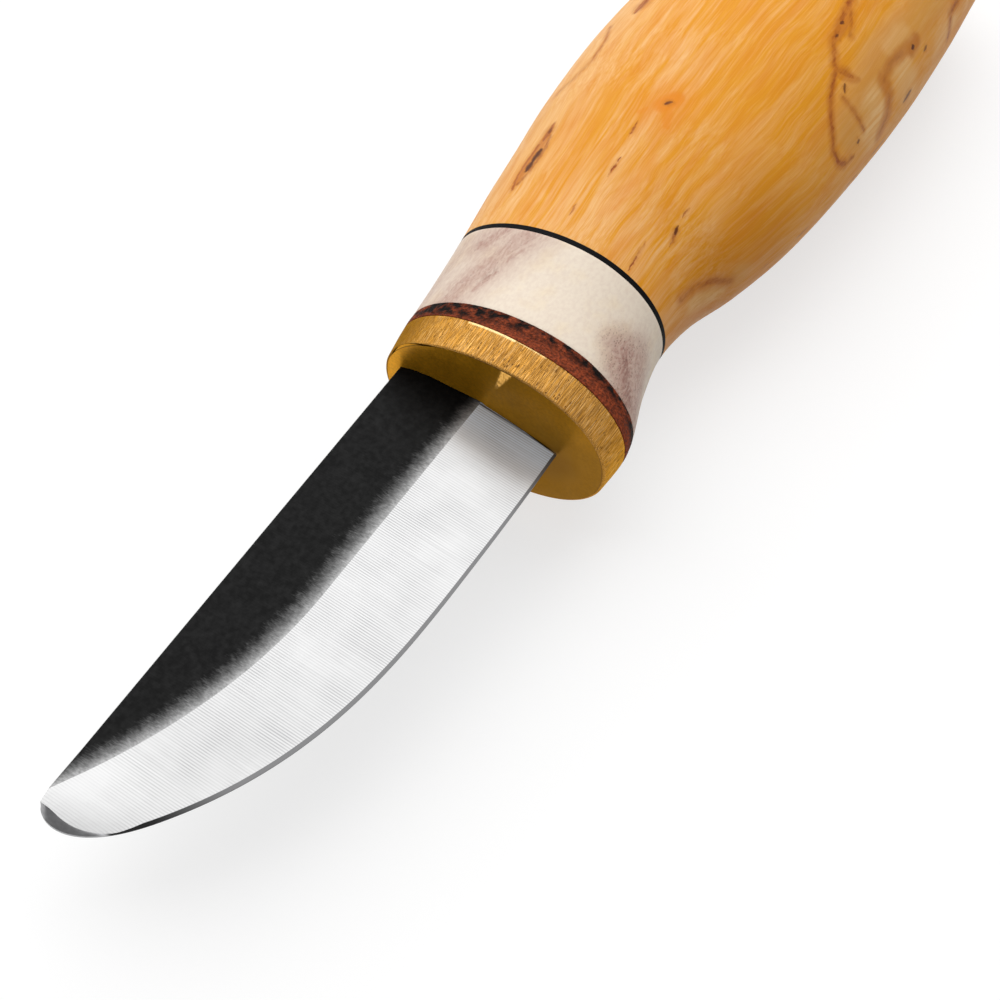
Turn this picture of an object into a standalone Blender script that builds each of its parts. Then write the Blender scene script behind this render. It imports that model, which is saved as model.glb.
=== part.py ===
"""Small fixed-blade knife with a rounded tip and a stacked handle on a hidden tang.

The steel blade carries a flat tang. Brass plate, leather washer, antler spacer and black liner are
threaded onto the tang, and the birch handle is bored for it and filled with adhesive.

Working frame, in metres: X = 0 is the front face of the brass plate, +X runs to the butt, +Y to the
spine and +Z to the upper side; the blade's middle plane is Z = 0. One empty then sets the finished
knife down on its side, with the world origin under the middle of its box.
"""
import math
from dataclasses import dataclass

import bmesh
import bpy
from mathutils import Vector

# Blade
BLADE_LENGTH = 0.0616
BLADE_THICKNESS = 0.003
SPINE_HEIGHT = 0.01065
EDGE_DEPTH = 0.0093
EDGE_LAND = 0.0002
EDGE_TAPER = 0.00085
BELLY_START = 0.017
BELLY_RISE = 0.0137
MICRO_BEVEL = 0.00045
SHOULDER_HEIGHT = 0.0008
SHOULDER_TAPER = 0.00095
SHOULDER_CURVE_START = 0.028
SHOULDER_RISE = 0.01053
NOSE_SETBACK = 0.0036
NOSE_SPINE_SETBACK = 0.0019
NOSE_PULL = 0.0082
NOSE_SPINE_PULL = 0.0011
NOSE_ROUNDING = 0.001
NOSE_LAND = 0.0006

# Tang
TANG_LENGTH = 0.070
TANG_TOP = 0.008
TANG_HEIGHT = 0.0075
TANG_END_HEIGHT = 0.005
TANG_RELIEF = 0.0001

# Stack on the tang, front to back
BOLSTER_LENGTH = 0.0037
LEATHER_THICKNESS = 0.0024
ANTLER_LENGTH = 0.0120
LINER_THICKNESS = 0.0005
BIRCH_LENGTH = 0.0852
BOLSTER_RIM_CHAMFER = 0.00025

# Bore and fits
BORE_HEIGHT = 0.0105
BORE_WIDTH = 0.0062
BORE_END_ROOM = 0.002
GLUE_LINE = 0.0001
SLOT_CLEARANCE = 0.0003

# Oval section: exponent of the superellipse, and how much thicker it is on the edge side
SECTION_POWER = 2.05
SECTION_EGG = 0.03
SECTION_POINTS = 44
BUTT_POWER = 2.3
BUTT_LENGTH = 0.0125
BUTT_FLAT = 0.2

# Reach of the handle's ovals to the spine, front to back
FRONT_SPINE = 0.0125
PLATE_SPINE = 0.0132
WASHER_SPINE = 0.0133
ANTLER_SPINE = 0.0139
WAIST_SPINE = 0.0147
NECK_SPINE = 0.0158
SWELL_SPINE = 0.0167
HIP_SPINE = 0.0178
CROWN_SPINE = 0.0184
BELLY_SPINE = 0.0178
REAR_SPINE = 0.0168
TAIL_SPINE = 0.0162
BUTT_SPINE = 0.0156

# Reach of the handle's ovals to the edge, front to back
FRONT_EDGE = 0.0148
PLATE_EDGE = 0.0150
WASHER_EDGE = 0.0146
ANTLER_EDGE = 0.0126
WAIST_EDGE = 0.0114
NECK_EDGE = 0.0121
SWELL_EDGE = 0.0143
HIP_EDGE = 0.0162
CROWN_EDGE = 0.0174
BELLY_EDGE = 0.0180
REAR_EDGE = 0.0176
TAIL_EDGE = 0.0169
BUTT_EDGE = 0.0162

# Reach of the handle's ovals to the side, front to back
FRONT_SIDE = 0.0096
PLATE_SIDE = 0.0097
WASHER_SIDE = 0.0099
ANTLER_SIDE = 0.0098
WAIST_SIDE = 0.0100
NECK_SIDE = 0.0103
SWELL_SIDE = 0.0111
HIP_SIDE = 0.0121
CROWN_SIDE = 0.0128
BELLY_SIDE = 0.0129
REAR_SIDE = 0.0124
TAIL_SIDE = 0.0119
BUTT_SIDE = 0.0113

# Places of the birch's ovals, as shares of the way from the liner to the rounded butt
NECK_SHARE = 0.096
SWELL_SHARE = 0.193
HIP_SHARE = 0.316
CROWN_SHARE = 0.481
BELLY_SHARE = 0.674
REAR_SHARE = 0.867

# Mesh steps
BLADE_STEP = 0.004
NOSE_STEPS = 10
SECTION_STEP = 0.0035
BUTT_STEPS = 8
BORE_END_POINTS = 8


@dataclass(frozen=True)
class Station:
    """One oval of the handle: its place along X and its reach to spine, edge and side."""

    along: float
    spine: float
    edge: float
    side: float


BOLSTER_BACK = BOLSTER_LENGTH
LEATHER_BACK = BOLSTER_BACK + LEATHER_THICKNESS
ANTLER_BACK = LEATHER_BACK + ANTLER_LENGTH
LINER_BACK = ANTLER_BACK + LINER_THICKNESS
BUTT_END = LINER_BACK + BIRCH_LENGTH
TAIL_START = BUTT_END - BUTT_LENGTH


def along_birch(share):
    """Place along X at a share of the way from the liner to where the butt begins to round."""
    return LINER_BACK + (TAIL_START - LINER_BACK) * share


STATIONS = (
    Station(0.0, FRONT_SPINE, FRONT_EDGE, FRONT_SIDE),
    Station(BOLSTER_BACK, PLATE_SPINE, PLATE_EDGE, PLATE_SIDE),
    Station(LEATHER_BACK, WASHER_SPINE, WASHER_EDGE, WASHER_SIDE),
    Station(LEATHER_BACK + ANTLER_LENGTH / 2, ANTLER_SPINE, ANTLER_EDGE, ANTLER_SIDE),
    Station(LINER_BACK, WAIST_SPINE, WAIST_EDGE, WAIST_SIDE),
    Station(along_birch(NECK_SHARE), NECK_SPINE, NECK_EDGE, NECK_SIDE),
    Station(along_birch(SWELL_SHARE), SWELL_SPINE, SWELL_EDGE, SWELL_SIDE),
    Station(along_birch(HIP_SHARE), HIP_SPINE, HIP_EDGE, HIP_SIDE),
    Station(along_birch(CROWN_SHARE), CROWN_SPINE, CROWN_EDGE, CROWN_SIDE),
    Station(along_birch(BELLY_SHARE), BELLY_SPINE, BELLY_EDGE, BELLY_SIDE),
    Station(along_birch(REAR_SHARE), REAR_SPINE, REAR_EDGE, REAR_SIDE),
    Station(TAIL_START, TAIL_SPINE, TAIL_EDGE, TAIL_SIDE),
    Station(BUTT_END, BUTT_SPINE, BUTT_EDGE, BUTT_SIDE),
)


def clear_scene():
    """Removes every object that is in the scene."""
    for existing in list(bpy.data.objects):
        bpy.data.objects.remove(existing, do_unlink=True)


def make_material(name, colour, roughness, metallic=0.0):
    """Returns a Principled material of one colour."""
    material = bpy.data.materials.new(name)
    material.use_nodes = True
    shader = material.node_tree.nodes["Principled BSDF"]
    shader.inputs["Base Color"].default_value = (*colour, 1.0)
    shader.inputs["Roughness"].default_value = roughness
    shader.inputs["Metallic"].default_value = metallic
    return material


def make_object(name, mesh_builder, material=None, sharp_angle=math.radians(30)):
    """Turns a bmesh into a scene object with smooth shading between its sharp edges."""
    bmesh.ops.recalc_face_normals(mesh_builder, faces=mesh_builder.faces)
    mesh = bpy.data.meshes.new(name)
    mesh_builder.to_mesh(mesh)
    mesh_builder.free()
    mesh.shade_smooth()
    mesh.set_sharp_from_angle(angle=sharp_angle)
    made = bpy.data.objects.new(name, mesh)
    bpy.context.collection.objects.link(made)
    if material:
        mesh.materials.append(material)
    return made


def cut(target, cutter):
    """Subtracts a cutter from a target and keeps the cutter out of the model."""
    cutter.hide_render = True
    cutter.display_type = "WIRE"
    boolean = target.modifiers.new(f"cut_{cutter.name}", "BOOLEAN")
    boolean.operation = "DIFFERENCE"
    boolean.solver = "EXACT"
    boolean.object = cutter


def loft(mesh_builder, rings):
    """Joins rings of points into a closed tube with flat ends."""
    loops = [[mesh_builder.verts.new(point) for point in ring] for ring in rings]
    for front, back in zip(loops, loops[1:]):
        for index in range(len(front)):
            following = (index + 1) % len(front)
            mesh_builder.faces.new((front[index], front[following], back[following], back[index]))
    mesh_builder.faces.new(loops[0][::-1])
    mesh_builder.faces.new(loops[-1])


def spread(start, end, step):
    """Returns evenly spaced values from start to end, no further apart than step."""
    count = max(1, math.ceil((end - start) / step))
    return [start + (end - start) * index / count for index in range(count + 1)]


def through_stations(x, size):
    """Reads one size of the stations at x, on a smooth curve through all of them."""
    slopes = []
    for index in range(len(STATIONS)):
        before = STATIONS[max(0, index - 1)]
        after = STATIONS[min(len(STATIONS) - 1, index + 1)]
        slopes.append((getattr(after, size) - getattr(before, size)) / (after.along - before.along))
    index = 0
    while index < len(STATIONS) - 2 and x > STATIONS[index + 1].along:
        index += 1
    near, far = STATIONS[index], STATIONS[index + 1]
    span = far.along - near.along
    t = min(1.0, max(0.0, (x - near.along) / span))
    return (
        getattr(near, size) * (2 * t**3 - 3 * t**2 + 1)
        + slopes[index] * span * (t**3 - 2 * t**2 + t)
        + getattr(far, size) * (3 * t**2 - 2 * t**3)
        + slopes[index + 1] * span * (t**3 - t**2)
    )


def signed_power(value, power):
    """Raises the size of a value to a power and keeps its sign."""
    return math.copysign(abs(value) ** power, value)


def oval(x, inset=0.0, shrink=1.0):
    """Returns the points of the handle's section at x, drawn in by an inset or a factor."""
    spine = through_stations(x, "spine") - inset
    edge = through_stations(x, "edge") - inset
    side = through_stations(x, "side") - inset
    middle = (spine - edge) / 2
    reach = (spine + edge) / 2
    points = []
    for index in range(SECTION_POINTS):
        angle = 2 * math.pi * index / SECTION_POINTS
        up = signed_power(math.cos(angle), 2 / SECTION_POWER)
        out = signed_power(math.sin(angle), 2 / SECTION_POWER)
        thickness = side * (1 - SECTION_EGG * up)
        points.append(Vector((x, middle + reach * up * shrink, thickness * out * shrink)))
    return points


def edge_height(distance):
    """Height of the cutting edge at a distance from the heel, with the belly rising to the tip."""
    belly = max(0.0, distance - BELLY_START) / (BLADE_LENGTH - BELLY_START)
    return -EDGE_DEPTH + EDGE_TAPER * distance / BLADE_LENGTH + BELLY_RISE * belly**3


def shoulder_height(distance):
    """Height of the line where the flat turns into the bevel, at a distance from the heel."""
    curve = max(0.0, distance - SHOULDER_CURVE_START) / (BLADE_LENGTH - SHOULDER_CURVE_START)
    return SHOULDER_HEIGHT + SHOULDER_TAPER * distance / BLADE_LENGTH + SHOULDER_RISE * curve**2


def shoulder_end():
    """Distance from the heel where the shoulder line runs out into the spine, found by halving."""
    low, high = SHOULDER_CURVE_START, 2 * BLADE_LENGTH
    for _ in range(60):
        middle = (low + high) / 2
        if shoulder_height(middle) < SPINE_HEIGHT:
            low = middle
        else:
            high = middle
    return low


def bevel_half_thickness(distance, height):
    """Half the blade's thickness on the bevel, which grows evenly from the edge to the shoulder."""
    edge = edge_height(distance)
    share = (height - edge) / (shoulder_height(distance) - edge)
    return BLADE_THICKNESS / 2 * min(1.0, max(0.0, share))


def nose_outline():
    """Returns the rounded tip's outline from the cutting edge up to the spine, one Bezier curve."""
    start_distance = BLADE_LENGTH - NOSE_SETBACK
    small = BLADE_STEP / 100
    start = Vector((-start_distance, edge_height(start_distance)))
    along_edge = Vector((-small, edge_height(start_distance + small) - start.y)).normalized()
    end = Vector((-(BLADE_LENGTH - NOSE_SPINE_SETBACK), SPINE_HEIGHT))
    first_pull = start + along_edge * NOSE_PULL
    second_pull = end + Vector((-NOSE_SPINE_PULL, 0.0))
    points = []
    for index in range(NOSE_STEPS + 1):
        t = index / NOSE_STEPS
        points.append(
            start * (1 - t) ** 3
            + first_pull * 3 * t * (1 - t) ** 2
            + second_pull * 3 * t**2 * (1 - t)
            + end * t**3
        )
    return points


def blade_ribs():
    """Returns the upper side of the blade as ribs of four points: spine, shoulder, bevel end, edge.

    Ribs stand upright along the blade. Past the shoulder's end they fan out round the tip.
    """
    half = BLADE_THICKNESS / 2
    last_upright = BLADE_LENGTH - NOSE_SETBACK - BLADE_STEP / 2
    ribs = []
    for distance in spread(0.0, min(last_upright, shoulder_end() - BLADE_STEP / 4), BLADE_STEP):
        edge = edge_height(distance)
        bevel_end = edge + MICRO_BEVEL
        ribs.append((
            Vector((-distance, SPINE_HEIGHT, half)),
            Vector((-distance, shoulder_height(distance), half)),
            Vector((-distance, bevel_end, max(bevel_half_thickness(distance, bevel_end), EDGE_LAND))),
            Vector((-distance, edge, EDGE_LAND / 2)),
        ))
    hub = Vector((-shoulder_end(), SPINE_HEIGHT, half))
    outline = nose_outline()
    for index, point in enumerate(outline):
        t = index / NOSE_STEPS
        before = outline[max(0, index - 1)]
        after = outline[min(NOSE_STEPS, index + 1)]
        inward = Vector((after.y - before.y, before.x - after.x)).normalized()
        rounding = EDGE_LAND + (NOSE_ROUNDING - EDGE_LAND) * math.sin(math.pi * t) ** 2
        inner = point + inward * rounding
        if index == NOSE_STEPS:
            inner = point + Vector((rounding, 0.0))
        thickness = max(bevel_half_thickness(-inner.x, inner.y), EDGE_LAND)
        land = EDGE_LAND + (NOSE_LAND - EDGE_LAND) * t
        ribs.append((hub, hub, Vector((inner.x, inner.y, thickness)), Vector((point.x, point.y, land / 2))))
    return ribs


def tang_section(distance, grow=0.0):
    """Returns the tang's four corners at a distance behind the heel, grown by a clearance."""
    half = BLADE_THICKNESS / 2 - TANG_RELIEF + grow
    narrowing = (TANG_HEIGHT - TANG_END_HEIGHT) * distance / TANG_LENGTH / 2
    top = TANG_TOP - narrowing + grow
    bottom = TANG_TOP - TANG_HEIGHT + narrowing - grow
    corners = ((top, half), (bottom, half), (bottom, -half), (top, -half))
    return [Vector((distance, y, z)) for y, z in corners]


def build_blade(material):
    """Blade and tang in one piece of steel, with the heel's shoulders standing round the tang."""
    builder = bmesh.new()
    ribs = blade_ribs()
    made = {}

    def corner(point, side):
        place = (round(point.x, 9), round(point.y, 9), round(point.z * side, 9))
        if place not in made:
            made[place] = builder.verts.new((point.x, point.y, point.z * side))
        return made[place]

    def face(*corners):
        distinct = list(dict.fromkeys(corners))
        if len(distinct) > 2:
            builder.faces.new(distinct)

    for near, far in zip(ribs, ribs[1:]):
        for side in (1, -1):
            for upper in range(3):
                quad = (near[upper], near[upper + 1], far[upper + 1], far[upper])
                face(*(corner(point, side) for point in quad))
        face(corner(near[3], 1), corner(near[3], -1), corner(far[3], -1), corner(far[3], 1))
        face(corner(near[0], 1), corner(near[0], -1), corner(far[0], -1), corner(far[0], 1))
    hub, _, tip_inner, tip_outer = ribs[-1]
    rim = (hub, tip_inner, tip_outer)
    face(*(corner(point, 1) for point in rim), *(corner(point, -1) for point in rim[::-1]))

    spine, shoulder, bevel_end, edge = ribs[0]
    front = [builder.verts.new(point) for point in tang_section(0.0)]
    back = [builder.verts.new(point) for point in tang_section(TANG_LENGTH)]
    top_up, bottom_up, bottom_down, top_down = front
    face(corner(spine, 1), corner(shoulder, 1), bottom_up, top_up)
    face(corner(spine, -1), corner(shoulder, -1), bottom_down, top_down)
    face(corner(spine, 1), corner(spine, -1), top_down, top_up)
    below = (shoulder, bevel_end, edge)
    face(*(corner(point, 1) for point in below), *(corner(point, -1) for point in below[::-1]),
         bottom_down, bottom_up)
    for index in range(4):
        following = (index + 1) % 4
        face(front[index], front[following], back[following], back[index])
    face(*back)
    bmesh.ops.translate(builder, verts=builder.verts, vec=(-GLUE_LINE, 0.0, 0.0))
    return make_object("blade", builder, material)


def build_bolster(material):
    """Brass front plate: an oval slab with a chamfered front rim and a flat face."""
    builder = bmesh.new()
    rings = [oval(0.0, inset=BOLSTER_RIM_CHAMFER)]
    rings += [oval(x) for x in spread(BOLSTER_RIM_CHAMFER, BOLSTER_BACK - GLUE_LINE, SECTION_STEP)]
    loft(builder, rings)
    return make_object("brass_bolster", builder, material)


def build_spacer(name, front, back, material):
    """One flush layer of the stack, from its front to a glue line before its back."""
    builder = bmesh.new()
    loft(builder, [oval(x) for x in spread(front, back - GLUE_LINE, SECTION_STEP)])
    return make_object(name, builder, material)


def build_handle(material):
    """Birch handle from the liner to the rounded butt, still without its bore."""
    builder = bmesh.new()
    rings = [oval(x) for x in spread(LINER_BACK, TAIL_START, SECTION_STEP)]
    full_turn = math.acos(BUTT_FLAT ** (BUTT_POWER / 2))
    for index in range(1, BUTT_STEPS + 1):
        angle = full_turn * index / BUTT_STEPS
        shrink = math.cos(angle) ** (2 / BUTT_POWER)
        reach = (math.sin(angle) / math.sin(full_turn)) ** (2 / BUTT_POWER)
        rings.append(oval(TAIL_START + reach * BUTT_LENGTH, shrink=shrink))
    loft(builder, rings)
    return make_object("birch_handle", builder, material)


def bore_section(x, shrink=0.0):
    """Returns the handle bore's section at x: an upright slot with half-round ends, less a film."""
    radius = BORE_WIDTH / 2 - shrink
    reach = BORE_HEIGHT / 2 - BORE_WIDTH / 2
    middle = TANG_TOP - TANG_HEIGHT / 2
    points = []
    for end, start_angle in ((1, 0.0), (-1, math.pi)):
        for index in range(BORE_END_POINTS + 1):
            angle = start_angle + math.pi * index / BORE_END_POINTS
            points.append(Vector((x, middle + end * reach + radius * math.sin(angle), radius * math.cos(angle))))
    return points


def bore_end():
    """Depth of the bore's flat end behind the front of the knife's handle."""
    return TANG_LENGTH + BORE_END_ROOM


def build_adhesive(material):
    """Cured adhesive that fills the bore round the tang, still without the tang's cavity."""
    builder = bmesh.new()
    back = bore_end() - GLUE_LINE
    loft(builder, [bore_section(LINER_BACK, GLUE_LINE), bore_section(back, GLUE_LINE)])
    return make_object("tang_epoxy", builder, material)


def build_slot_cutter():
    """Straight slot for the tang through every layer of the stack."""
    builder = bmesh.new()
    section = tang_section(0.0, SLOT_CLEARANCE)
    ends = (-SLOT_CLEARANCE, LINER_BACK + SLOT_CLEARANCE)
    loft(builder, [[Vector((x, point.y, point.z)) for point in section] for x in ends])
    return make_object("slot_cutter", builder)


def build_bore_cutter():
    """Bore in the handle, open at the front."""
    builder = bmesh.new()
    loft(builder, [bore_section(LINER_BACK - SLOT_CLEARANCE), bore_section(bore_end())])
    return make_object("bore_cutter", builder)


def build_tang_cutter():
    """Cavity that the tapering tang leaves in the adhesive."""
    builder = bmesh.new()
    loft(builder, [tang_section(0.0, SLOT_CLEARANCE), tang_section(TANG_LENGTH + SLOT_CLEARANCE, SLOT_CLEARANCE)])
    return make_object("tang_cutter", builder)


def set_down(pieces, cutters):
    """Parents everything to one empty, which lays the knife on its side over the world origin."""
    corners = [vertex.co for piece in pieces for vertex in piece.data.vertices]
    low = Vector([min(corner[axis] for corner in corners) for axis in range(3)])
    high = Vector([max(corner[axis] for corner in corners) for axis in range(3)])
    knife = bpy.data.objects.new("knife", None)
    bpy.context.collection.objects.link(knife)
    knife.location = (-(low.x + high.x) / 2, -(low.y + high.y) / 2, -low.z)
    for piece in pieces + cutters:
        piece.parent = knife


def main():
    """Builds the pieces, cuts the tang's way through them and sets the knife down."""
    clear_scene()
    steel = make_material("steel", (0.30, 0.30, 0.31), 0.35, 1.0)
    brass = make_material("brass", (0.72, 0.50, 0.16), 0.35, 1.0)
    leather = make_material("leather", (0.09, 0.035, 0.02), 0.8)
    antler = make_material("antler", (0.78, 0.72, 0.66), 0.45)
    liner = make_material("liner", (0.02, 0.02, 0.02), 0.6)
    birch = make_material("birch", (0.78, 0.48, 0.18), 0.4)
    epoxy = make_material("epoxy", (0.62, 0.52, 0.30), 0.3)

    blade = build_blade(steel)
    layers = [
        build_bolster(brass),
        build_spacer("leather_spacer", BOLSTER_BACK, LEATHER_BACK, leather),
        build_spacer("antler_spacer", LEATHER_BACK, ANTLER_BACK, antler),
        build_spacer("black_liner", ANTLER_BACK, LINER_BACK, liner),
    ]
    handle = build_handle(birch)
    adhesive = build_adhesive(epoxy)

    slot_cutter = build_slot_cutter()
    for layer in layers:
        cut(layer, slot_cutter)
    bore_cutter = build_bore_cutter()
    cut(handle, bore_cutter)
    tang_cutter = build_tang_cutter()
    cut(adhesive, tang_cutter)
    set_down([blade, *layers, handle, adhesive], [slot_cutter, bore_cutter, tang_cutter])


main()
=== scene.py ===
"""Dressed scene of a small fixed-blade knife with a rounded tip and a stacked handle.

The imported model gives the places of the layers. Every visible piece is modelled here in finer
steps on the knife's own axes: X = 0 is the front face of the brass plate, +X runs to the butt,
+Y to the spine and +Z to the upper side, with the blade's middle plane at Z = 0.
"""
import functools
import logging
import math
from dataclasses import dataclass, field, fields
from enum import Enum
from typing import Callable, Optional, Sequence, Union

import bmesh
import bpy
import numpy as np
from mathutils import Matrix, Vector


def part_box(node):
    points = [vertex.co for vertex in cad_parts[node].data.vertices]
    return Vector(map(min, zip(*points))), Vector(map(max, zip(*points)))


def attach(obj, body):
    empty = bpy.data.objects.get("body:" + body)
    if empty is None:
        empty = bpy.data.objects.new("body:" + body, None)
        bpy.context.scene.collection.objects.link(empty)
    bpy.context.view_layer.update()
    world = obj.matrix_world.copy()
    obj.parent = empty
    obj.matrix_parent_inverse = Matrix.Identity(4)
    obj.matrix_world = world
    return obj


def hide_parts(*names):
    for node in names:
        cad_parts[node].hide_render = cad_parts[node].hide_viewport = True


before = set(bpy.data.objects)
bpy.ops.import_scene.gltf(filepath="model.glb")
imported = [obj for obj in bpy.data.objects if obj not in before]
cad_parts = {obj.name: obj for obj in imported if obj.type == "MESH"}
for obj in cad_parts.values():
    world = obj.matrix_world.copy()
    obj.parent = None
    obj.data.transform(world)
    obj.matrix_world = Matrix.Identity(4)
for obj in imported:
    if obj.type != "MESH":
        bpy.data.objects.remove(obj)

LOG = logging.getLogger("knife")
MM = 0.001
BODY = "root"
SHARP_ANGLE = math.radians(40)
SAME_POINT = 1e-7
NO_LENGTH = 1e-8
WHITE = (1.0, 1.0, 1.0)
MIX_FIRST, MIX_SECOND, MIX_RESULT = 6, 7, 2

Colour = tuple[float, float, float]
Point = tuple[float, float, float]
Span = tuple[float, float]
Line = tuple[float, float]
Feed = Union["Value", str, float, Sequence[float]]
Feeds = Optional[dict[Union[str, int], Feed]]


class Slot(Enum):
    """Names of the material slots, one for each kind of piece."""

    STEEL = "steel"
    BRASS = "brass"
    LEATHER = "leather"
    ANTLER = "antler"
    LINER = "liner"
    BIRCH = "birch"


class Zone(Enum):
    """Faces of the blade that are finished in different ways."""

    FLAT = 0
    BEVEL = 1
    STONED = 2
    SPINE = 3


@dataclass(frozen=True)
class KnifeAxes:
    """Places of the knife's own axes and layers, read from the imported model, in metres."""

    origin: Vector
    plate_back: float
    leather_back: float
    antler_back: float
    liner_back: float
    butt_end: float

    @classmethod
    def from_frame(cls) -> "KnifeAxes":
        """Reads the nodes' boxes.

        Returns:
            The axes, with the layers' joints measured from the brass plate's front face.
        """
        blade_low, blade_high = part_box("blade")
        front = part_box("brass_bolster")[0].x
        origin = Vector((front, blade_high.y - Blade.spine_height, (blade_low.z + blade_high.z) / 2))
        return cls(
            origin=origin,
            plate_back=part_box("leather_spacer")[0].x - front,
            leather_back=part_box("antler_spacer")[0].x - front,
            antler_back=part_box("black_liner")[0].x - front,
            liner_back=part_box("birch_handle")[0].x - front,
            butt_end=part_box("birch_handle")[1].x - front,
        )


class Value:
    """Output of a node, with arithmetic that adds Math nodes to its graph."""

    def __init__(self, graph: "Graph", socket: bpy.types.NodeSocket) -> None:
        """Keeps the graph and the output."""
        self.graph = graph
        self.socket = socket

    def __add__(self, other: Feed) -> "Value":
        """Adds a value."""
        return self.graph.math("ADD", self, other)

    def __sub__(self, other: Feed) -> "Value":
        """Takes a value away."""
        return self.graph.math("SUBTRACT", self, other)

    def __rsub__(self, other: Feed) -> "Value":
        """Is taken away from a value."""
        return self.graph.math("SUBTRACT", other, self)

    def __mul__(self, other: Feed) -> "Value":
        """Multiplies by a value."""
        return self.graph.math("MULTIPLY", self, other)

    def __truediv__(self, other: Feed) -> "Value":
        """Divides by a value."""
        return self.graph.math("DIVIDE", self, other)


class Graph:
    """Adds nodes to one node tree and joins them."""

    def __init__(self, tree: bpy.types.NodeTree) -> None:
        """Keeps the tree that is built."""
        self.tree = tree

    def feed(self, socket: bpy.types.NodeSocket, value: Feed) -> None:
        """Joins an output to an input, or sets a plain value on it.

        Args:
            socket: The input.
            value: A node's output, or a plain value. A plain colour leaves out its alpha.
        """
        if isinstance(value, Value):
            self.tree.links.new(value.socket, socket)
        else:
            socket.default_value = (*value, 1.0) if socket.type == "RGBA" else value

    def node(self, kind: str, feeds: Feeds = None, **settings: object) -> bpy.types.Node:
        """Adds a node.

        Args:
            kind: Name of the node's type.
            feeds: Inputs by name or number.
            settings: Values of the node's own properties.

        Returns:
            The new node.
        """
        made = self.tree.nodes.new(kind)
        for name, value in settings.items():
            setattr(made, name, value)
        for key, value in (feeds or {}).items():
            self.feed(made.inputs[key], value)
        return made

    def take(self, node: bpy.types.Node, output: Union[str, int] = 0) -> Value:
        """Takes one output of a node."""
        return Value(self, node.outputs[output])

    def out(self, kind: str, feeds: Feeds = None, output: Union[str, int] = 0, **settings: object) -> Value:
        """Adds a node and takes one of its outputs."""
        return self.take(self.node(kind, feeds, **settings), output)

    def math(self, operation: str, *values: Feed) -> Value:
        """Adds a Math node."""
        return self.out("ShaderNodeMath", dict(enumerate(values)), operation=operation)

    def vector(self, operation: str, *values: Feed) -> Value:
        """Adds a Vector Math node, which gives a vector, or a number where the operation does."""
        output = "Value" if operation in ("DOT_PRODUCT", "DISTANCE") else "Vector"
        return self.out("ShaderNodeVectorMath", dict(enumerate(values)), output, operation=operation)

    def scaled(self, vector: Feed, factor: Feed) -> Value:
        """Multiplies a vector by a number."""
        return self.out("ShaderNodeVectorMath", {"Vector": vector, "Scale": factor}, operation="SCALE")

    def ramp(self, value: Feed, low: Feed, high: Feed, smooth: bool = True) -> Value:
        """Maps a value from low to high onto 0 to 1, held at both ends.

        Args:
            value: The value.
            low: Value that gives 0.
            high: Value that gives 1.
            smooth: Whether the step eases in and out.

        Returns:
            The mapped value.
        """
        kind = "SMOOTHSTEP" if smooth else "LINEAR"
        feeds = {"Value": value, "From Min": low, "From Max": high}
        return self.out("ShaderNodeMapRange", feeds, "Result", interpolation_type=kind)

    def line(self, value: Value, line: Line) -> Value:
        """Multiplies a value by a line's slope and adds the line's start."""
        return value * line[0] + line[1]

    def blend(self, share: Feed, first: Feed, second: Feed) -> Value:
        """Mixes two colours, with a share of the second."""
        feeds = {0: share, MIX_FIRST: first, MIX_SECOND: second}
        return self.out("ShaderNodeMix", feeds, MIX_RESULT, data_type="RGBA")

    def laid(self, base: Feed, *coats: tuple[Feed, Feed]) -> Value:
        """Lays colours over a base colour.

        Args:
            base: The base colour.
            coats: Share and colour of each coat, in order.

        Returns:
            The mixed colour.
        """
        for share, colour in coats:
            base = self.blend(share, base, colour)
        return base

    def split(self, vector: Feed) -> list[Value]:
        """Parts a vector into X, Y and Z."""
        made = self.node("ShaderNodeSeparateXYZ", {0: vector})
        return [Value(self, output) for output in made.outputs]

    def join(self, *parts: Feed) -> Value:
        """Joins X, Y and Z to a vector."""
        return self.out("ShaderNodeCombineXYZ", dict(enumerate(parts)))

    def most(self, *values: Value) -> Value:
        """Takes the largest of several values."""
        return functools.reduce(functools.partial(self.math, "MAXIMUM"), values)


class GroupGraph(Graph):
    """Node group with named inputs and outputs."""

    def __init__(self, name: str, kind: str, inputs: dict[str, str], outputs: dict[str, str]) -> None:
        """Starts the group.

        Args:
            name: Name of the group.
            kind: Type of tree.
            inputs: Socket types by input name.
            outputs: Socket types by output name.
        """
        super().__init__(bpy.data.node_groups.new(name, kind))
        for direction, sockets in (("INPUT", inputs), ("OUTPUT", outputs)):
            for label, sort in sockets.items():
                self.tree.interface.new_socket(label, in_out=direction, socket_type=f"NodeSocket{sort}")
        source = self.node("NodeGroupInput")
        self.given = {socket.name: Value(self, socket) for socket in source.outputs if socket.name}

    def give(self, **results: Value) -> bpy.types.NodeTree:
        """Feeds the outputs and returns the finished group."""
        self.node("NodeGroupOutput", results)
        return self.tree


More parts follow.
